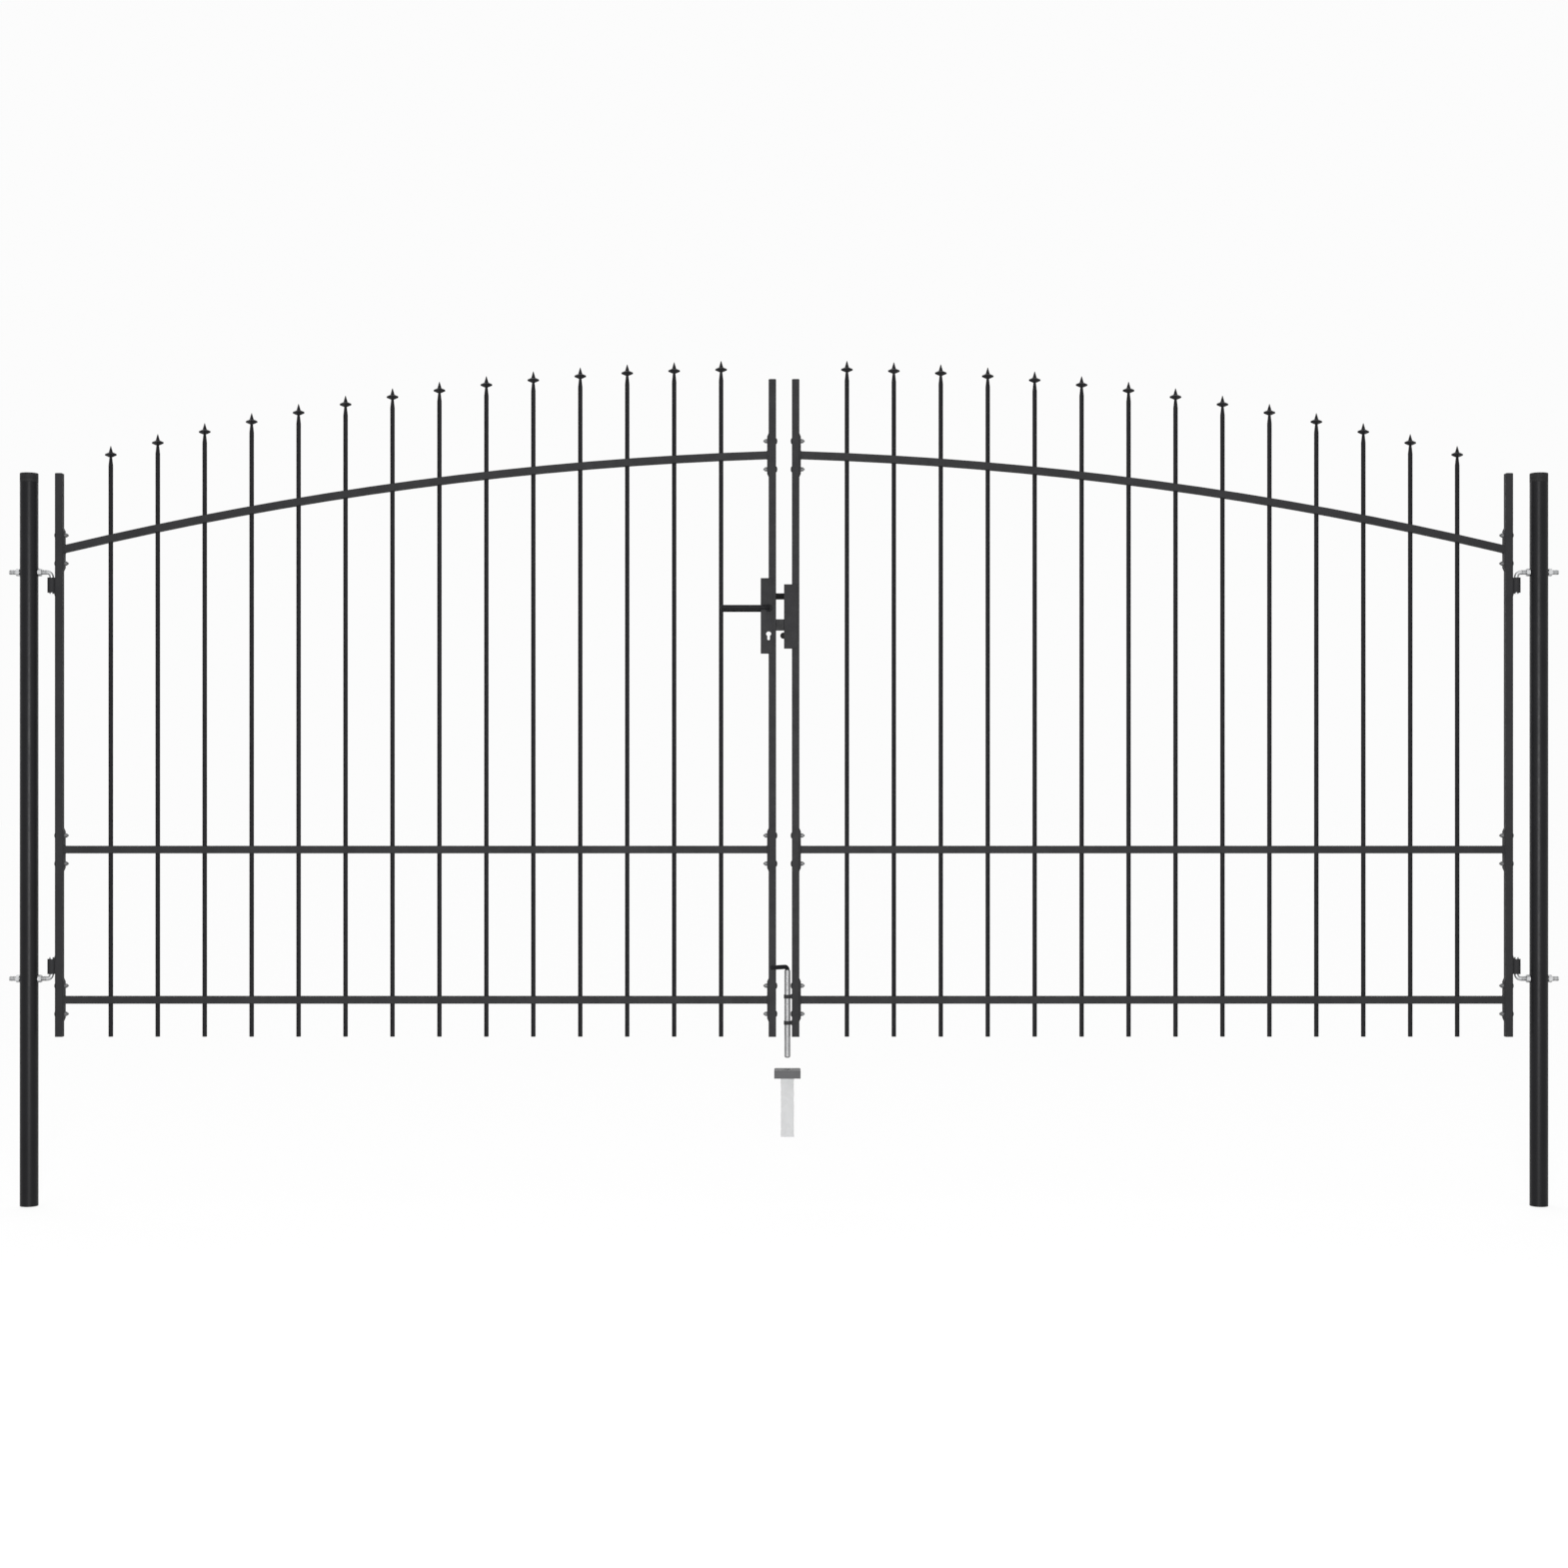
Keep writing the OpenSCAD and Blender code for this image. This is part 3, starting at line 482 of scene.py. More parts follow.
def mix_finishes(colours):
    """Makes every finish once, most of them under the record's slot names"""
    cross_grain = (700, 90, 90)
    long_grain = (60, 900, 900)
    rod_grain = (900, 900, 60)
    FINISHES.update(
        black_coat=powder_coat(
            "matt_black_coat", colours.coat, gloss=(0.62, 0.74), level=0.12),
        # Glossier and darker copy of the black coat for the posts; the extra darkness is painted
        # shade
        post_coat=powder_coat(
            "satin_black_coat", colours.post, gloss=(0.36, 0.42), level=0.13),
        # Darker copy of the black coat; its extra darkness is painted shade on round bars
        lever_coat=powder_coat(
            "deep_black_coat", colours.lever, gloss=(0.50, 0.62), level=0.10),
        socket_grey=powder_coat(
            "mid_grey_coat", colours.socket, gloss=(0.60, 0.74), level=0.20),
        zinc=plated_steel(
            "bright_zinc", colours.zinc, gloss=(0.42, 0.54), grain=cross_grain, metal=1.0),
        # Darker copy of the zinc; its extra darkness is painted shade and reflection on the rod
        rod_zinc=plated_steel(
            "rod_zinc", colours.rod_zinc, gloss=(0.34, 0.46), grain=rod_grain, metal=0.35),
        # Darker copy of the zinc: its extra darkness is painted shade on threads and frame nuts
        thread_zinc=plated_steel(
            "thread_zinc", colours.thread_zinc, gloss=(0.52, 0.64), grain=cross_grain, metal=0.5),
        bolt_steel=blackened_steel(
            "blackened_steel", colours.bolt, gloss=(0.46, 0.58), grain=long_grain, level=0.10),
        # Darker copy of the blackened steel; its extra darkness is painted shade on the latch
        # bolt
        latch_steel=blackened_steel(
            "deep_black_steel", colours.latch, gloss=(0.60, 0.74), grain=long_grain, level=0.04),
        galvanised=galvanised_steel(
            "dull_galvanised", colours.galvanised, gloss=(0.50, 0.66), level=0.3),
        cap_plastic=moulded(
            "matt_cap_plastic", colours.cap, gloss=(0.60, 0.74), grain=1300, level=0.2),
        buffer_rubber=moulded(
            "buffer_rubber", colours.rubber, gloss=(0.70, 0.85), grain=900, level=0.2),
    )


def finish_for(slot):
    if not FINISHES:
        mix_finishes(bpy.context.scene.gate_finish)
    return FINISHES[slot]


def record_slot(node):
    for subpart in frame["record"]["subparts"]:
        if subpart["node"] == node:
            return subpart["material_slot"]
    raise RuntimeError(f"{node} has no finish in the record")


def dress(*nodes, finish=None):
    """Gives nodes of the frame a finish, or the one that the record names for them"""
    for node in nodes:
        mesh = frame["nodes"][node].data
        mesh.materials.clear()
        mesh.materials.append(finish_for(finish or record_slot(node)))


# Repeated fixings


class FixingTree(TreeBuilder):
    """Geometry Nodes tree that sets one fixing on every point of a mesh"""

    def __init__(self, name, sizes):
        super().__init__(bpy.data.node_groups.new(name, "GeometryNodeTree"))
        face = self.tree.interface
        face.new_socket("Points", in_out="INPUT", socket_type="NodeSocketGeometry")
        face.new_socket("Finish", in_out="INPUT", socket_type="NodeSocketMaterial")
        for size in sizes:
            face.new_socket(size, in_out="INPUT", socket_type="NodeSocketFloat")
        face.new_socket("Fixings", in_out="OUTPUT", socket_type="NodeSocketGeometry")
        self.inputs = self.node("NodeGroupInput").outputs

    def math(self, operation, first, second):
        return self.node("ShaderNodeMath", {0: first, 1: second}, operation=operation).outputs[0]

    def half(self, value):
        return self.math("MULTIPLY", value, 0.5)

    def vector(self, x, y, z):
        return self.node("ShaderNodeCombineXYZ", {"X": x, "Y": y, "Z": z}).outputs[0]

    def cylinder(self, sides, radius, height):
        return self.node("GeometryNodeMeshCylinder", {
            "Vertices": sides, "Radius": radius, "Depth": height}).outputs["Mesh"]

    def ball(self, segments, rings, width, height):
        """Ball about the origin, given by its half width and half height"""
        ball = self.node("GeometryNodeMeshUVSphere", {
            "Segments": segments, "Rings": rings, "Radius": 1.0})
        return self.node("GeometryNodeTransform", {
            "Geometry": ball.outputs["Mesh"],
            "Scale": self.vector(width, width, height)}).outputs["Geometry"]

    def raised(self, shape, height):
        return self.node("GeometryNodeTransform", {
            "Geometry": shape, "Translation": self.vector(0.0, 0.0, height)}).outputs["Geometry"]

    def flat_foot(self, shape):
        """Presses everything below the foot's plane up into it"""
        position = self.node("GeometryNodeInputPosition").outputs[0]
        x, y, z = self.node("ShaderNodeSeparateXYZ", {0: position}).outputs
        place = self.vector(x, y, self.math("MAXIMUM", z, 0.0))
        return self.node("GeometryNodeSetPosition", {
            "Geometry": shape, "Position": place}).outputs["Geometry"]

    def thread(self, radius, length, pitch, ridge):
        """Helical ridge round a bar, from the foot's plane upward"""
        spiral = self.node("GeometryNodeCurveSpiral", {
            "Resolution": 20, "Rotations": self.math("DIVIDE", length, pitch),
            "Start Radius": radius, "End Radius": radius, "Height": length})
        section = self.node("GeometryNodeCurvePrimitiveCircle", {
            "Resolution": 4, "Radius": ridge})
        return self.node("GeometryNodeCurveToMesh", {
            "Curve": spiral.outputs[0], "Profile Curve": section.outputs[0],
            "Fill Caps": True}).outputs["Mesh"]

    def joined(self, *shapes):
        node = self.node("GeometryNodeJoinGeometry")
        for shape in shapes:
            self.feed(node.inputs[0], shape)
        return node.outputs[0]

    def finish(self, shape, points):
        """Sets the shape on each point along its axis, as one mesh with its finish"""
        axis = self.node("GeometryNodeInputNamedAttribute", data_type="FLOAT_VECTOR")
        self.feed(axis.inputs["Name"], "axis")
        turn = self.node("FunctionNodeAlignRotationToVector", {
            "Vector": axis.outputs["Attribute"]}, axis="Z")
        place = self.node("GeometryNodeInstanceOnPoints", {
            "Points": points, "Instance": shape, "Rotation": turn.outputs["Rotation"]})
        real = self.node("GeometryNodeRealizeInstances", {0: place.outputs[0]})
        coat = self.node("GeometryNodeSetMaterial", {
            "Geometry": real.outputs[0], "Material": self.inputs["Finish"]})
        self.node("NodeGroupOutput", {"Fixings": coat.outputs[0]})
        return self.tree


def head_tree():
    """Mushroom head of a frame bolt"""
    tree = FixingTree("bolt_head", ("Head width", "Head height"))
    ball = tree.ball(24, 14, tree.half(tree.inputs["Head width"]), tree.inputs["Head height"])
    return tree.finish(tree.flat_foot(ball), tree.inputs["Points"])


def nut_tree():
    """Washer, chamfered nut and threaded bolt end"""
    tree = FixingTree("bolt_nut", ("Washer width", "Washer height", "Nut width", "Nut height",
                                   "Bolt width", "Bolt end", "Shank pitch"))
    size = tree.inputs
    washer_h, nut_h, end, pitch = (
        size[name] for name in ("Washer height", "Nut height", "Bolt end", "Shank pitch"))
    bolt_r = tree.half(size["Bolt width"])
    washer = tree.raised(
        tree.cylinder(28, tree.half(size["Washer width"]), washer_h), tree.half(washer_h))
    corner = tree.math("DIVIDE", size["Nut width"], math.sqrt(3))
    hexagon = tree.cylinder(6, corner, nut_h)
    trim = tree.ball(32, 24, tree.math("MULTIPLY", corner, NUT_ROUND),
                     tree.math("MULTIPLY", nut_h, NUT_CROWN))
    cut = tree.node("GeometryNodeMeshBoolean", operation="INTERSECT")
    for shape in (hexagon, trim):
        tree.feed(cut.inputs["Mesh 2"], shape)
    nut = tree.raised(cut.outputs["Mesh"], tree.math("ADD", washer_h, tree.half(nut_h)))
    nut_top = tree.math("ADD", washer_h, nut_h)
    shank = tree.raised(tree.cylinder(20, tree.math("MULTIPLY", bolt_r, SHANK_CORE), end),
                        tree.math("ADD", nut_top, tree.half(end)))
    ridge = tree.math("MULTIPLY", pitch, SHANK_RIDGE)
    thread = tree.raised(
        tree.thread(tree.math("SUBTRACT", bolt_r, ridge),
                    tree.math("SUBTRACT", end, pitch), pitch, ridge),
        tree.math("ADD", nut_top, ridge))
    return tree.finish(tree.joined(washer, nut, shank, thread), size["Points"])


def thread_tree():
    """Helical ridge on a stretch of pintle bar"""
    tree = FixingTree("bar_thread", ("Radius", "Length", "Bar pitch"))
    pitch = tree.inputs["Bar pitch"]
    ridge = tree.math("MULTIPLY", pitch, BAR_RIDGE)
    sunk = tree.math("SUBTRACT", tree.inputs["Radius"], tree.math("MULTIPLY", ridge, BAR_SINK))
    return tree.finish(
        tree.thread(sunk, tree.inputs["Length"], pitch, ridge), tree.inputs["Points"])


def bead_tree():
    """Weld bead along every line, as a row of ripples"""
    tree = FixingTree("weld_bead", ("Bead radius", "Bead step"))
    line = tree.node("GeometryNodeMeshToCurve", {"Mesh": tree.inputs["Points"]})
    spaced = tree.node("GeometryNodeResampleCurve", {
        "Curve": line.outputs[0], "Length": tree.inputs["Bead step"]}, mode="LENGTH")
    ripple = tree.ball(8, 5, tree.inputs["Bead radius"], tree.inputs["Bead radius"])
    return tree.finish(ripple, spaced.outputs["Curve"])


# Pieces


def add_object(name, data):
    added = bpy.data.objects.new(name, data)
    bpy.context.scene.collection.objects.link(added)
    return added


def evaluated(made):
    graph = bpy.context.evaluated_depsgraph_get()
    return bpy.data.meshes.new_from_object(made.evaluated_get(graph), depsgraph=graph)


def smooth(mesh):
    mesh.shade_smooth()
    mesh.set_sharp_from_angle(angle=SHARP_ANGLE)


def fit(name, tree, places, slot, body, lines=(), finish=None, **sizes):
    """Runs a tree over places given as (point, axis), and rides the result on a body.

    The tree's sizes are the settings of the same names, unless they are given.
    """
    seeds = bpy.data.meshes.new(name)
    seeds.from_pydata([point for point, axis in places], lines, [])
    axes = seeds.attributes.new("axis", "FLOAT_VECTOR", "POINT")
    for value, (point, axis) in zip(axes.data, places):
        value.vector = axis
    piece = add_object(name, seeds)
    modifier = piece.modifiers.new("fixings", "NODES")
    modifier.node_group = tree
    settings = bpy.context.scene.gate_fixing
    values = dict(sizes, finish=finish_for(finish or slot))
    for socket in tree.interface.items_tree:
        if socket.in_out == "INPUT" and socket.name != "Points":
            key = socket.name.lower().replace(" ", "_")
            modifier[socket.identifier] = values.get(key) or getattr(settings, key)
    mesh = evaluated(piece)
    piece.modifiers.clear()
    piece.data = mesh
    bpy.data.meshes.remove(seeds)
    mesh.name = name
    if not mesh.polygons:
        raise RuntimeError(f"{name} came out empty")
    smooth(mesh)
    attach(piece, body)


def stand_for(name, build, node, body):
    """Turns a built mesh into a piece that stands for a node of the frame"""
    bmesh.ops.recalc_face_normals(build, faces=build.faces)
    mesh = bpy.data.meshes.new(name)
    build.to_mesh(mesh)
    build.free()
    smooth(mesh)
    slot = record_slot(node)
    mesh.materials.append(finish_for(slot))
    piece = add_object(name, mesh)
    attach(piece, body)
    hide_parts(node)


def add_rings(rings, build, hollow):
    """Skins rings of points that follow one another, capped or led back to the first"""
    loops = [[build.verts.new(point) for point in ring] for ring in rings]
    for lower, upper in zip(loops, loops[1:] + loops[:1] if hollow else loops[1:]):
        count = len(lower)
        for i in range(count):
            j = (i + 1) % count
            build.faces.new((lower[i], lower[j], upper[j], upper[i]))
    if not hollow:
        build.faces.new(loops[0])
        build.faces.new(loops[-1])


def shell(name, shapes, node, body, hollow=False):
    """Makes a piece of closed shells that stands for a node of the frame"""
    build = bmesh.new()
    for rings in shapes:
        add_rings(rings, build, hollow)
    stand_for(name, build, node, body)


def turns(start, end, steps):
    """Cosine and sine at even steps from one angle to another, without the last"""
    for i in range(steps):
        angle = start + (end - start) * i / steps
        yield math.cos(angle), math.sin(angle)


def turned(profile, centre, axis, sides=64):
    """Rings about an axis, from a profile given as (radius, distance along the axis)"""
    along = Vector(axis)
    across = along.orthogonal().normalized()
    beside = along.cross(across)
    rings = []
    for radius, distance in profile:
        middle = Vector(centre) + along * distance
        rings.append([middle + radius * (cos * across + sin * beside)
                      for cos, sin in turns(0, math.tau, sides)])
    return rings


def rounded_edge(radius, height, edge, steps=5):
    """Profile points of a quarter round that ends at the radius and height"""
    for i in range(steps + 1):
        turn = math.pi / 2 * i / steps
        yield (radius - edge + edge * math.cos(turn), height - edge + edge * math.sin(turn))


def swept(stations, radius, upright, sides=32):
    """Rings of a round bar along stations given as (point, heading, share of the radius)"""
    up = Vector(upright)
    rings = []
    for point, heading, share in stations:
        beside = Vector(heading).cross(up).normalized()
        rings.append([Vector(point) + radius * share * (cos * beside + sin * up)
                      for cos, sin in turns(0, math.tau, sides)])
    return rings


def squared(ring, middle):
    """Pushes a round ring about an upright axis out to a square of the same width"""
    across = [Vector((p.x - middle[0], p.y - middle[1], 0)) for p in ring]
    radius = across[0].length
    return [p + way * (radius / max(abs(way.x), abs(way.y)) - 1) for p, way in zip(ring, across)]


def plate(name, outlines, low, high, edge, node, body):
    """Makes an upright plate between two depths, from an outline and its holes in x and z"""
    curve = bpy.data.curves.new(name, "CURVE")
    curve.dimensions = "2D"
    curve.fill_mode = "BOTH"
    curve.extrude = (high - low) / 2 - edge
    curve.bevel_depth = edge
    curve.bevel_resolution = 2
    curve.offset = -edge
    for outline in outlines:
        spline = curve.splines.new("POLY")
        spline.points.add(len(outline) - 1)
        for point, (x, z) in zip(spline.points, outline):
            point.co = (x, z, 0, 1)
        spline.use_cyclic_u = True
    form = add_object(name, curve)
    flat = evaluated(form)
    bpy.data.objects.remove(form)
    flat.transform(Matrix.Translation((0, (low + high) / 2, 0))
                   @ Matrix.Rotation(math.radians(90), 4, "X"))
    build = bmesh.new()
    build.from_mesh(flat)
    bpy.data.meshes.remove(flat)
    bmesh.ops.remove_doubles(build, verts=build.verts, dist=1e-6)
    stand_for(name, build, node, body)


def circle(x, z, radius, start=0.0, end=math.tau, steps=24):
    """Points of an arc about a place in x and z, without its end"""
    return [(x + radius * cos, z + radius * sin) for cos, sin in turns(start, end, steps)]


def keyhole(x, z, sizes):
    """Outline of the keyhole: a round head and a slot with a round end below it"""
    radius = sizes.keyhole_width / 2
    half = sizes.keyhole_slot / 2
    foot = z + radius - sizes.keyhole_height + half
    lean = math.asin(half / radius)
    head = circle(x, z, radius, lean - math.pi / 2, 1.5 * math.pi - lean)
    neck = [(x - half, z - radius * math.cos(lean))]
    return head + neck + circle(x, foot, half, math.pi, math.tau) + [(x + half, foot)]


# Places on the frame


def middle_of(node):
    return [(low + high) / 2 for low, high in zip(*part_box(node))]


def rail_ends(side):
    """Rail ends of a leaf, as (stile's outer x, its inner x, outward way, height)"""
    middle = middle_of(f"{side}_bottom_rail")[0]
    low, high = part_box(f"{side}_mid_rail")
    plate_h = high[2] - low[2]
    for rail in RAILS:
        low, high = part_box(f"{side}_{rail}")
        for stile, height in (("hinge_stile", low[2] + plate_h / 2),
                              ("lock_stile", high[2] - plate_h / 2)):
            left, right = (corner[0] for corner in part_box(f"{side}_{stile}"))
            if left > middle:
                yield right, left, 1, height
            else:
                yield left, right, -1, height


# Operators


class GATE_OT_coat_frame(bpy.types.Operator):
    """Coat the posts and both leaves' frames"""

    bl_idname = "gate.coat_frame"
    bl_label = "Coat Frame"

    def execute(self, context):
        for side in SIDES:
            # The posts take a darker copy of the black coat, whose extra darkness is painted
            # shade
            dress(f"{side}_post", finish="post_coat")
            # Pickets and spears take the darker lever coat, whose extra darkness is painted shade
            dress(f"{side}_pickets", f"{side}_spears", finish="lever_coat")
            for part in ("hinge_stile", "lock_stile", "stile_caps", *RAILS):
                dress(f"{side}_{part}")
        return {"FINISHED"}


class GATE_OT_post_caps(bpy.types.Operator):
    """Turn the flat caps of the posts, with a groove below their rims"""

    bl_idname = "gate.post_caps"
    bl_label = "Post Caps"

    def execute(self, context):
        sizes = context.scene.gate_shape
        groove = sizes.cap_groove
        for side in SIDES:
            low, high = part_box(f"{side}_post")
            radius = (high[0] - low[0]) / 2
            centre = ((low[0] + high[0]) / 2, 0, high[2])
            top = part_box(f"{side}_post_cap")[1][2] - high[2]
            seat = top - sizes.cap_rim
            profile = [(radius * FOOT_RING, CAP_LIFT), (radius, CAP_LIFT),
                       (radius, seat - groove), (radius - groove, seat - groove),
                       (radius - groove, seat), (radius, seat),
                       *rounded_edge(radius, top, sizes.cap_edge)]
            shell(f"{side}_flat_cap", [turned(profile, centre, UP)], f"{side}_post_cap", "posts")
        return {"FINISHED"}


class GATE_OT_finish_hinges(bpy.types.Operator):
    """Plate the pintles and their nuts, and coat the barrels"""

    bl_idname = "gate.finish_hinges"
    bl_label = "Finish Hinges"

    def execute(self, context):
        for side in SIDES:
            for part in (*PINTLES, "hinge_nuts", "hinge_barrels"):
                dress(f"{side}_{part}")
        return {"FINISHED"}


class GATE_OT_finish_lock(bpy.types.Operator):
    """Finish the lock's case and bolts, the strike and the buffer"""

    bl_idname = "gate.finish_lock"
    bl_label = "Finish Lock"

    def execute(self, context):
        dress("lock_case", "lever_spindle", "deadbolt", "keeper_strike", "keeper_buffer")
        # The latch bolt takes a darker copy of the blackened steel, whose extra darkness is
        # painted shade
        dress("latch_bolt", finish="latch_steel")
        return {"FINISHED"}


class GATE_OT_plates(bpy.types.Operator):
    """Cut the lock's plates with their holes, and the keeper's plates"""

    bl_idname = "gate.plates"
    bl_label = "Plates"

    def execute(self, context):
        sizes = context.scene.gate_shape
        low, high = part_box("lever_spindle")
        spindle = circle((low[0] + high[0]) / 2, (low[2] + high[2]) / 2,
                         (high[0] - low[0]) / 2 + sizes.plate_edge)
        hole = next(mount for mount in frame["record"]["mounts"]
                    if mount["name"] == "lock_cylinder_hole")["pos_m"]
        holes = [keyhole(hole[0], hole[2], sizes), spindle]
        for place in ("front", "back"):
            for part, width, height, cuts, body in (
                    ("lock", sizes.lock_width, sizes.lock_height, holes, "left_leaf"),
                    ("keeper", sizes.keeper_width, sizes.keeper_height, [], "right_leaf")):
                node = f"{part}_{place}_plate"
                low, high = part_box(node)
                middle = (low[2] + high[2]) / 2
                left, right = high[0] - width, high[0]
                foot, top = middle - height / 2, middle + height / 2
                outer = [(left, foot), (right, foot), (right, top), (left, top)]
                plate(f"{part}_{place}_cover", [outer, *cuts], low[1], high[1],
                      sizes.plate_edge, node, body)
        return {"FINISHED"}


class GATE_OT_levers(bpy.types.Operator):
    """Bend the two levers, with their hubs on the spindle"""

    bl_idname = "gate.levers"
    bl_label = "Levers"

    def stations(self, axis_x, height, face, side, end_x, sizes):
        """Bar from the hub, round its bend and on to its rounded end"""
        bend = sizes.lever_bend
        half = sizes.lever_width / 2
        neck = sizes.lever_reach - bend
        steps = 10
        bar = [((axis_x, side * face, height), (0, side, 0), 1)]
        for i in range(steps + 1):
            turn = math.pi / 2 * i / steps
            bar.append(((axis_x - bend + bend * math.cos(turn),
                         side * (neck + bend * math.sin(turn)), height),
                        (-math.sin(turn), side * math.cos(turn), 0), 1))
        for cos, sin in turns(0, math.pi / 2, steps):
            bar.append(((end_x + half - half * sin, side * sizes.lever_reach, height),
                        (-1, 0, 0), cos))
        return bar

    def execute(self, context):
        sizes = context.scene.gate_shape
        axis_x, _, height = middle_of("lever_spindle")
        hub_r = sizes.hub_width / 2
        hub = [(hub_r * HUB_RING, 0), (hub_r, 0),
               *rounded_edge(hub_r, sizes.hub_height, sizes.hub_edge)]
        for name, side in (("front", -1), ("back", 1)):
            node = f"lever_{name}"
            low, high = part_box(node)
            face = min(abs(low[1]), abs(high[1]))
            stations = self.stations(
                axis_x, height, face + sizes.hub_height / 2, side, low[0], sizes)
            shell(f"{node}_grip",
                  [turned(hub, (axis_x, side * face, height), (0, side, 0), sides=48),
                   swept(stations, sizes.lever_width / 2, UP)],
                  node, "lever")
        return {"FINISHED"}


class GATE_OT_finish_drop_bolt(bpy.types.Operator):
    """Finish the drop bolt, its guides and the ground socket's tube"""

    bl_idname = "gate.finish_drop_bolt"
    bl_label = "Finish Drop Bolt"

    def execute(self, context):
        # The rod takes the darker rod zinc, whose extra darkness is painted shade and reflection
        dress("drop_bolt", finish="rod_zinc")
        dress("drop_bolt_handle", "drop_bolt_guides", "ground_socket_tube")
        return {"FINISHED"}


class GATE_OT_ground_collar(bpy.types.Operator):
    """Form the ground socket's collar round its hole"""

    bl_idname = "gate.ground_collar"
    bl_label = "Ground Collar"

    def execute(self, context):
        sizes = context.scene.gate_shape
        low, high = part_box("ground_socket_collar")
        middle = ((low[0] + high[0]) / 2, (low[1] + high[1]) / 2, low[2])
        half = (high[0] - low[0]) / 2
        edge, top, hole = sizes.collar_edge, sizes.collar_height, sizes.collar_hole / 2
        outer = turned([(half, 0), (half, top - edge), (half - edge, top)], middle, UP)
        inner = turned([(hole, top), (hole, 0)], middle, UP)
        shell("ground_collar", [[squared(ring, middle) for ring in outer] + inner],
              "ground_socket_collar", "posts", hollow=True)
        return {"FINISHED"}


class GATE_OT_frame_bolts(bpy.types.Operator):
    """Bolt the rails' end plates to the stiles"""

    bl_idname = "gate.frame_bolts"
    bl_label = "Frame Bolts"

    def execute(self, context):
        sizes = context.scene.gate_fixing
        head = head_tree()
        nut = nut_tree()
        for side in SIDES:
            heads = []
            nuts = []
            for outer, inner, way, height in rail_ends(side):
                for z in (height - sizes.bolt_offset, height + sizes.bolt_offset):
                    heads.append(((outer, 0, z), (way, 0, 0)))
                    nuts.append(((inner - way * sizes.plate, 0, z), (-way, 0, 0)))
            fit(f"{side}_bolt_heads", head, heads, "black_coat", f"{side}_leaf")
            # The nuts take the darker thread zinc, whose extra darkness is painted shade
            fit(f"{side}_bolt_nuts", nut, nuts, "zinc", f"{side}_leaf", finish="thread_zinc")
        return {"FINISHED"}


class GATE_OT_bar_threads(bpy.types.Operator):
    """Thread the pintle bars on both sides of the posts"""

    bl_idname = "gate.bar_threads"
    bl_label = "Bar Threads"

    def execute(self, context):
        sizes = context.scene.gate_fixing
        tree = thread_tree()
        for side in SIDES:
            tail, hinge, way = (0, 1, 1) if side == "left" else (1, 0, -1)
            nuts = [corner[0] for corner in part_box(f"{side}_hinge_nuts")]
            outer = []
            inner = []
            for pintle in PINTLES:
                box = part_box(f"{side}_{pintle}")
                radius = (box[1][1] - box[0][1]) / 2
                height = box[1][2] - radius if pintle == "upper_pintle" else box[0][2] + radius
                outer.append(((nuts[tail], 0, height), (-way, 0, 0)))
                inner.append(((nuts[hinge], 0, height), (way, 0, 0)))
            tail_l = abs(nuts[tail] - box[tail][0]) - sizes.bar_pitch
            bare_l = abs(box[hinge][0] - way * radius - nuts[hinge]) - sizes.bar_bend
            # The threads take the darker thread zinc, whose extra darkness is painted shade in
            # their grooves
            for name, places, length in (("tail", outer, tail_l), ("inner", inner, bare_l)):
                fit(f"{side}_{name}_threads", tree, places, "zinc", "posts",
                    finish="thread_zinc", radius=radius, length=length)
        return {"FINISHED"}


class GATE_OT_welds(bpy.types.Operator):
    """Weld the rails to their end plates, and barrels and guides to the stiles"""

    bl_idname = "gate.welds"
    bl_label = "Welds"

    def rail_beads(self, side, sizes):
        """Paths round the rails' ends, with their corners cut, each led back to its start"""
        half = RAIL_BEAD
        cut = half * CORNER_CUT
        for outer, inner, way, height in rail_ends(side):
            face = inner - way * sizes.plate
            path = [(face, y, height + z) for y, z in (
                (-half, -cut), (-cut, -half), (cut, -half), (half, -cut),
                (half, cut), (cut, half), (-cut, half), (-half, cut))]
            yield path, True

    def barrel_beads(self, side, sizes):
        """Upright paths along both sides of the hinge barrels"""
        low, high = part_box(f"{side}_hinge_barrels")
        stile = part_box(f"{side}_hinge_stile")
        face = stile[0][0] - BARREL_LIFT if side == "left" else stile[1][0] + BARREL_LIFT
        for base in (high[2] - sizes.barrel_height, low[2]):
            foot = base + BARREL_END
            top = base + sizes.barrel_height - BARREL_END
            for y in (-BARREL_BEAD, BARREL_BEAD):
                yield [(face, y, foot), (face, y, top)], False

    def guide_beads(self, sizes):
        """Level paths along the drop bolt guides' upper and lower edges"""
        low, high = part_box("drop_bolt_guides")
        face = high[0] - GUIDE_SINK
        for z in (low[2], low[2] + sizes.guide_height, high[2] - sizes.guide_height, high[2]):
            yield [(face, -GUIDE_BEAD, z), (face, GUIDE_BEAD, z)], False

    def execute(self, context):
        sizes = context.scene.gate_fixing
        tree = bead_tree()
        for side in SIDES:
            paths = [*self.rail_beads(side, sizes), *self.barrel_beads(side, sizes)]
            if side == "right":
                paths += self.guide_beads(sizes)
            points = []
            lines = []
            for path, closed in paths:
                start = len(points)
                points += [(point, UP) for point in path]
                lines += [(i, i + 1) for i in range(start, len(points) - 1)]
                if closed:
                    lines.append((len(points) - 1, start))
            fit(f"{side}_welds", tree, points, "black_coat", f"{side}_leaf", lines)
        return {"FINISHED"}


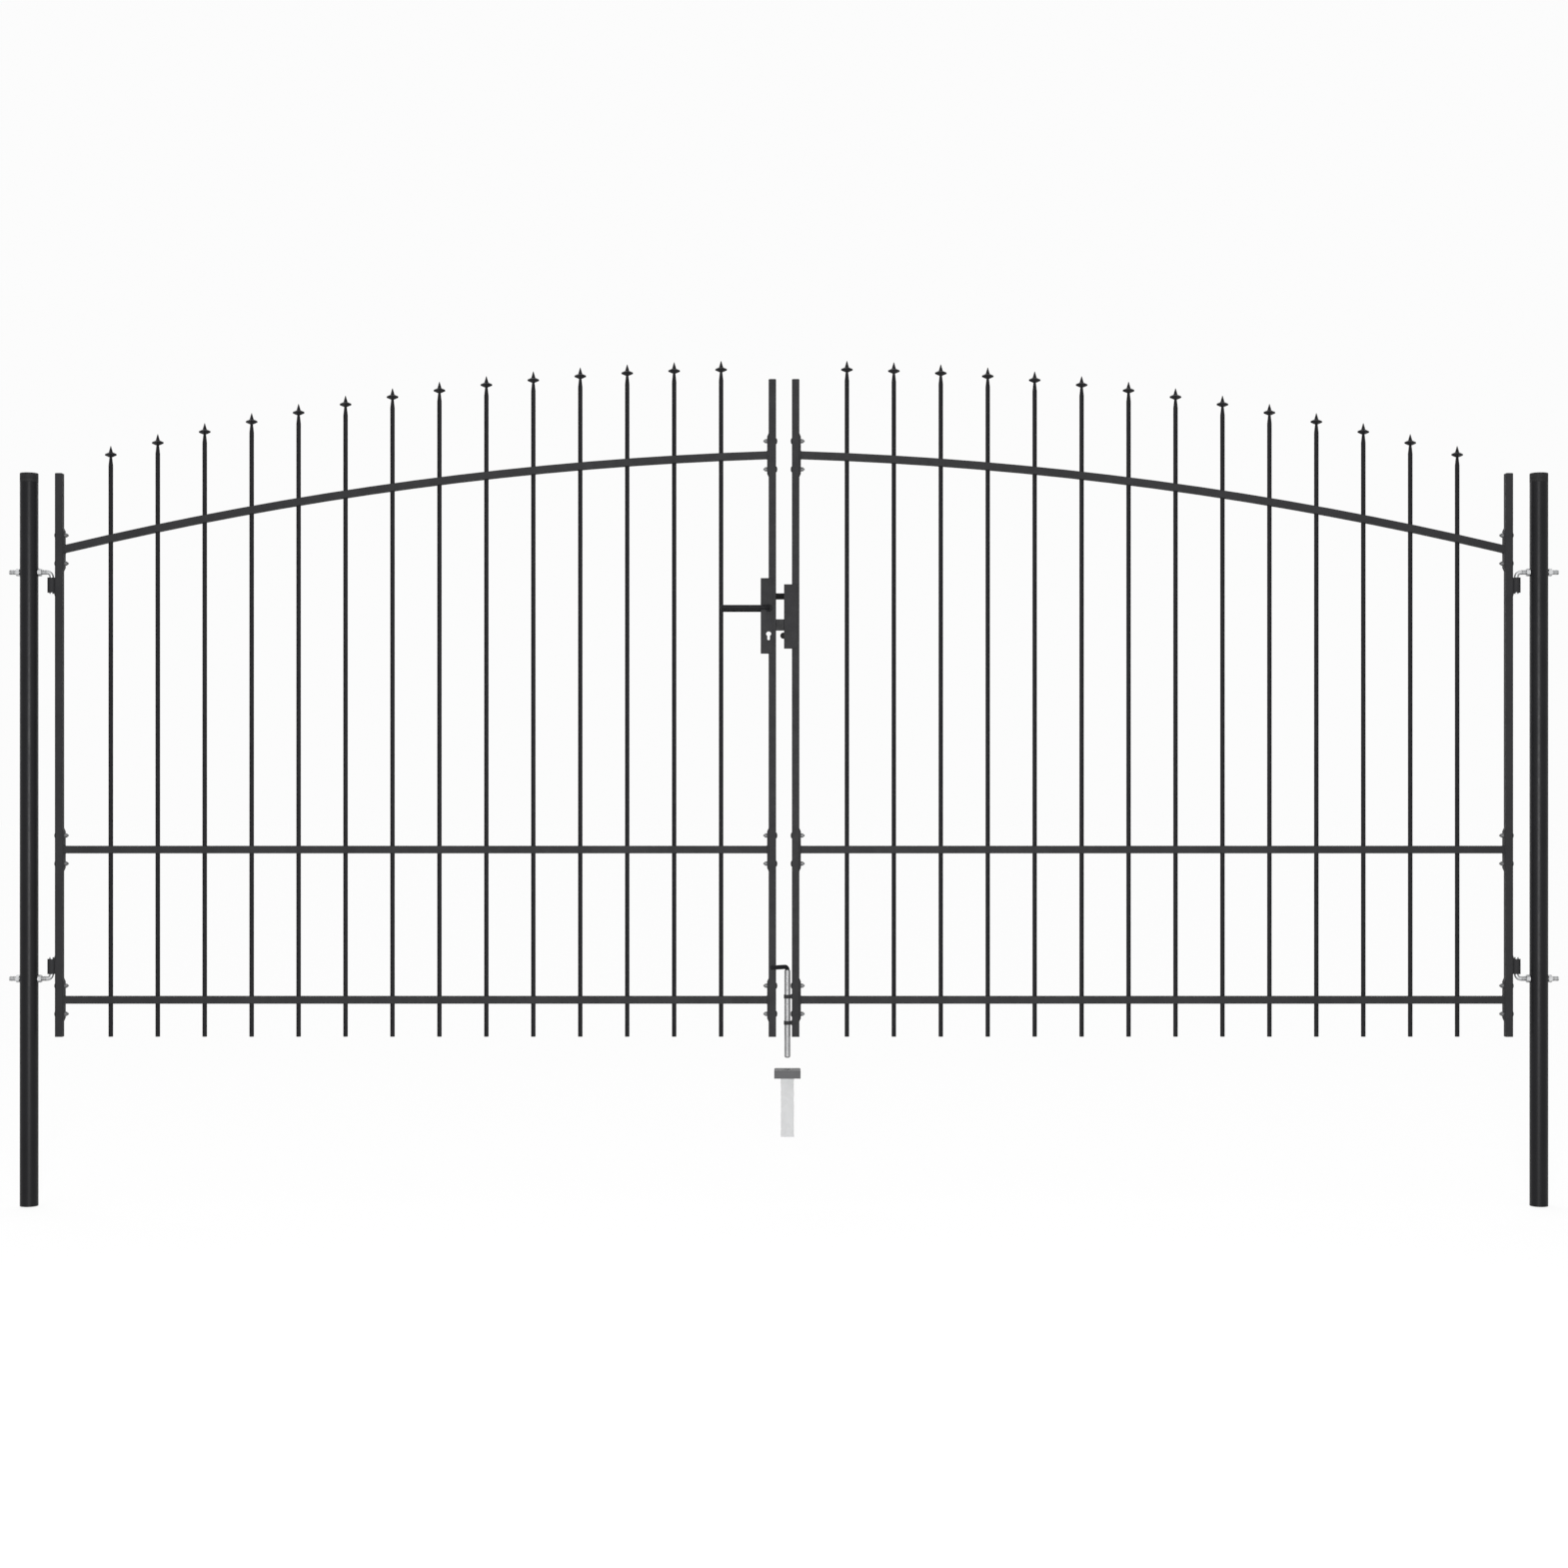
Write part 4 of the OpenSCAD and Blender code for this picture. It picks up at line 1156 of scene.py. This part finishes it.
class GATE_OT_stage(bpy.types.Operator):
    """Set up the floor, the light and the camera"""

    bl_idname = "gate.stage"
    bl_label = "Stage"

    def seen_directly(self, tree):
        """1 for camera, glossy and transmission rays, 0 for the rest"""
        path = tree.node("ShaderNodeLightPath").outputs
        first = tree.node("ShaderNodeMath", {
            0: path["Is Camera Ray"], 1: path["Is Glossy Ray"]}, operation="MAXIMUM")
        last = tree.node("ShaderNodeMath", {
            0: first.outputs[0], 1: path["Is Transmission Ray"]}, operation="MAXIMUM")
        return last.outputs[0]

    def floor(self, middle, height, settings):
        material = bpy.data.materials.new("pale_floor")
        material.use_nodes = True
        tree = TreeBuilder(material.node_tree)
        grey = settings.floor_grey
        matt = tree.node("ShaderNodeBsdfDiffuse", {"Color": (grey, grey, grey, 1)})
        level = tree.node("ShaderNodeMath", {
            0: self.seen_directly(tree), 1: settings.floor_glow}, operation="MULTIPLY")
        glow = tree.node("ShaderNodeEmission", {"Color": WHITE, "Strength": level.outputs[0]})
        both = tree.node("ShaderNodeAddShader", {0: matt.outputs[0], 1: glow.outputs[0]})
        tree.node("ShaderNodeOutputMaterial", {"Surface": both.outputs[0]})
        mesh = bpy.data.meshes.new("studio_floor")
        mesh.from_pydata([(middle + x * FLOOR_REACH, y * FLOOR_REACH, height)
                          for x, y in ((-1, -1), (1, -1), (1, 1), (-1, 1))],
                         [], [(0, 1, 2, 3)])
        mesh.materials.append(material)
        add_object("studio_floor", mesh)

    def backdrop(self, scene, settings):
        world = bpy.data.worlds.new("white_studio")
        world.use_nodes = True
        tree = TreeBuilder(world.node_tree)
        level = tree.node("ShaderNodeMapRange", {
            "Value": self.seen_directly(tree),
            "To Min": settings.ambient, "To Max": settings.white})
        sky = tree.node("ShaderNodeBackground", {
            "Color": WHITE, "Strength": level.outputs["Result"]})
        tree.node("ShaderNodeOutputWorld", {"Surface": sky.outputs[0]})
        scene.world = world

    def soft_box(self, place, facing, settings):
        light = bpy.data.lights.new("front_light", "AREA")
        light.energy = settings.front_light
        light.size = settings.front_size
        lamp = add_object("front_light", light)
        lamp.location = place
        lamp.rotation_euler = facing
        lamp.visible_camera = False

    def sun(self, name, heading, strength):
        light = bpy.data.lights.new(name, "SUN")
        light.energy = strength
        light.angle = SUN_SPREAD
        lamp = add_object(name, light)
        lamp.rotation_euler = Vector(heading).to_track_quat("-Z", "Y").to_euler()

    def camera(self, scene, place, facing, settings):
        lens = bpy.data.cameras.new("front_camera")
        lens.sensor_width = SENSOR
        lens.lens = SENSOR / 2 * settings.distance / settings.half_view
        lens.clip_end = CLIP_END
        camera = add_object("front_camera", lens)
        camera.location = place
        camera.rotation_euler = facing
        scene.camera = camera

    def execute(self, context):
        scene = context.scene
        settings = scene.gate_stage
        low, high = CAD_BOX
        middle = (low[0] + high[0]) / 2
        place = (middle, -settings.distance, settings.eye_height)
        facing = (math.radians(90), 0, 0)
        self.floor(middle, low[2], settings)
        self.backdrop(scene, settings)
        self.soft_box(place, facing, settings)
        self.sun("back_light", BACK_HEADING, settings.back_light)
        self.sun("top_light", TOP_HEADING, settings.top_light)
        self.camera(scene, place, facing, settings)
        scene.view_settings.view_transform = "Standard"
        return {"FINISHED"}


class VIEW3D_PT_gate(bpy.types.Panel):
    """Lists the gate's operators"""

    bl_label = "Driveway Gate"
    bl_idname = "VIEW3D_PT_gate"
    bl_space_type = "VIEW_3D"
    bl_region_type = "UI"
    bl_category = "Gate"

    def draw(self, context):
        for operator in OPERATORS:
            self.layout.operator(operator.bl_idname)
        for settings in SETTINGS:
            group = getattr(context.scene, settings)
            box = self.layout.box()
            for name in group.__annotations__:
                box.prop(group, name)


OPERATORS = (
    GATE_OT_coat_frame,
    GATE_OT_post_caps,
    GATE_OT_finish_hinges,
    GATE_OT_finish_lock,
    GATE_OT_plates,
    GATE_OT_levers,
    GATE_OT_finish_drop_bolt,
    GATE_OT_ground_collar,
    GATE_OT_frame_bolts,
    GATE_OT_bar_threads,
    GATE_OT_welds,
    GATE_OT_stage,
)
SETTINGS = {
    "gate_finish": GateFinishSettings,
    "gate_shape": GateShapeSettings,
    "gate_fixing": GateFixingSettings,
    "gate_stage": GateStageSettings,
}
CLASSES = (*SETTINGS.values(), *OPERATORS, VIEW3D_PT_gate)


def register():
    for cls in CLASSES:
        bpy.utils.register_class(cls)
    for name, cls in SETTINGS.items():
        setattr(bpy.types.Scene, name, PointerProperty(type=cls))


def unregister():
    for name in SETTINGS:
        delattr(bpy.types.Scene, name)
    for cls in reversed(CLASSES):
        bpy.utils.unregister_class(cls)


def main():
    register()
    bpy.ops.gate.coat_frame()
    bpy.ops.gate.post_caps()
    bpy.ops.gate.finish_hinges()
    bpy.ops.gate.finish_lock()
    bpy.ops.gate.plates()
    bpy.ops.gate.levers()
    bpy.ops.gate.finish_drop_bolt()
    bpy.ops.gate.ground_collar()
    bpy.ops.gate.frame_bolts()
    bpy.ops.gate.bar_threads()
    bpy.ops.gate.welds()
    bpy.ops.gate.stage()


if __name__ == "__main__":
    main()
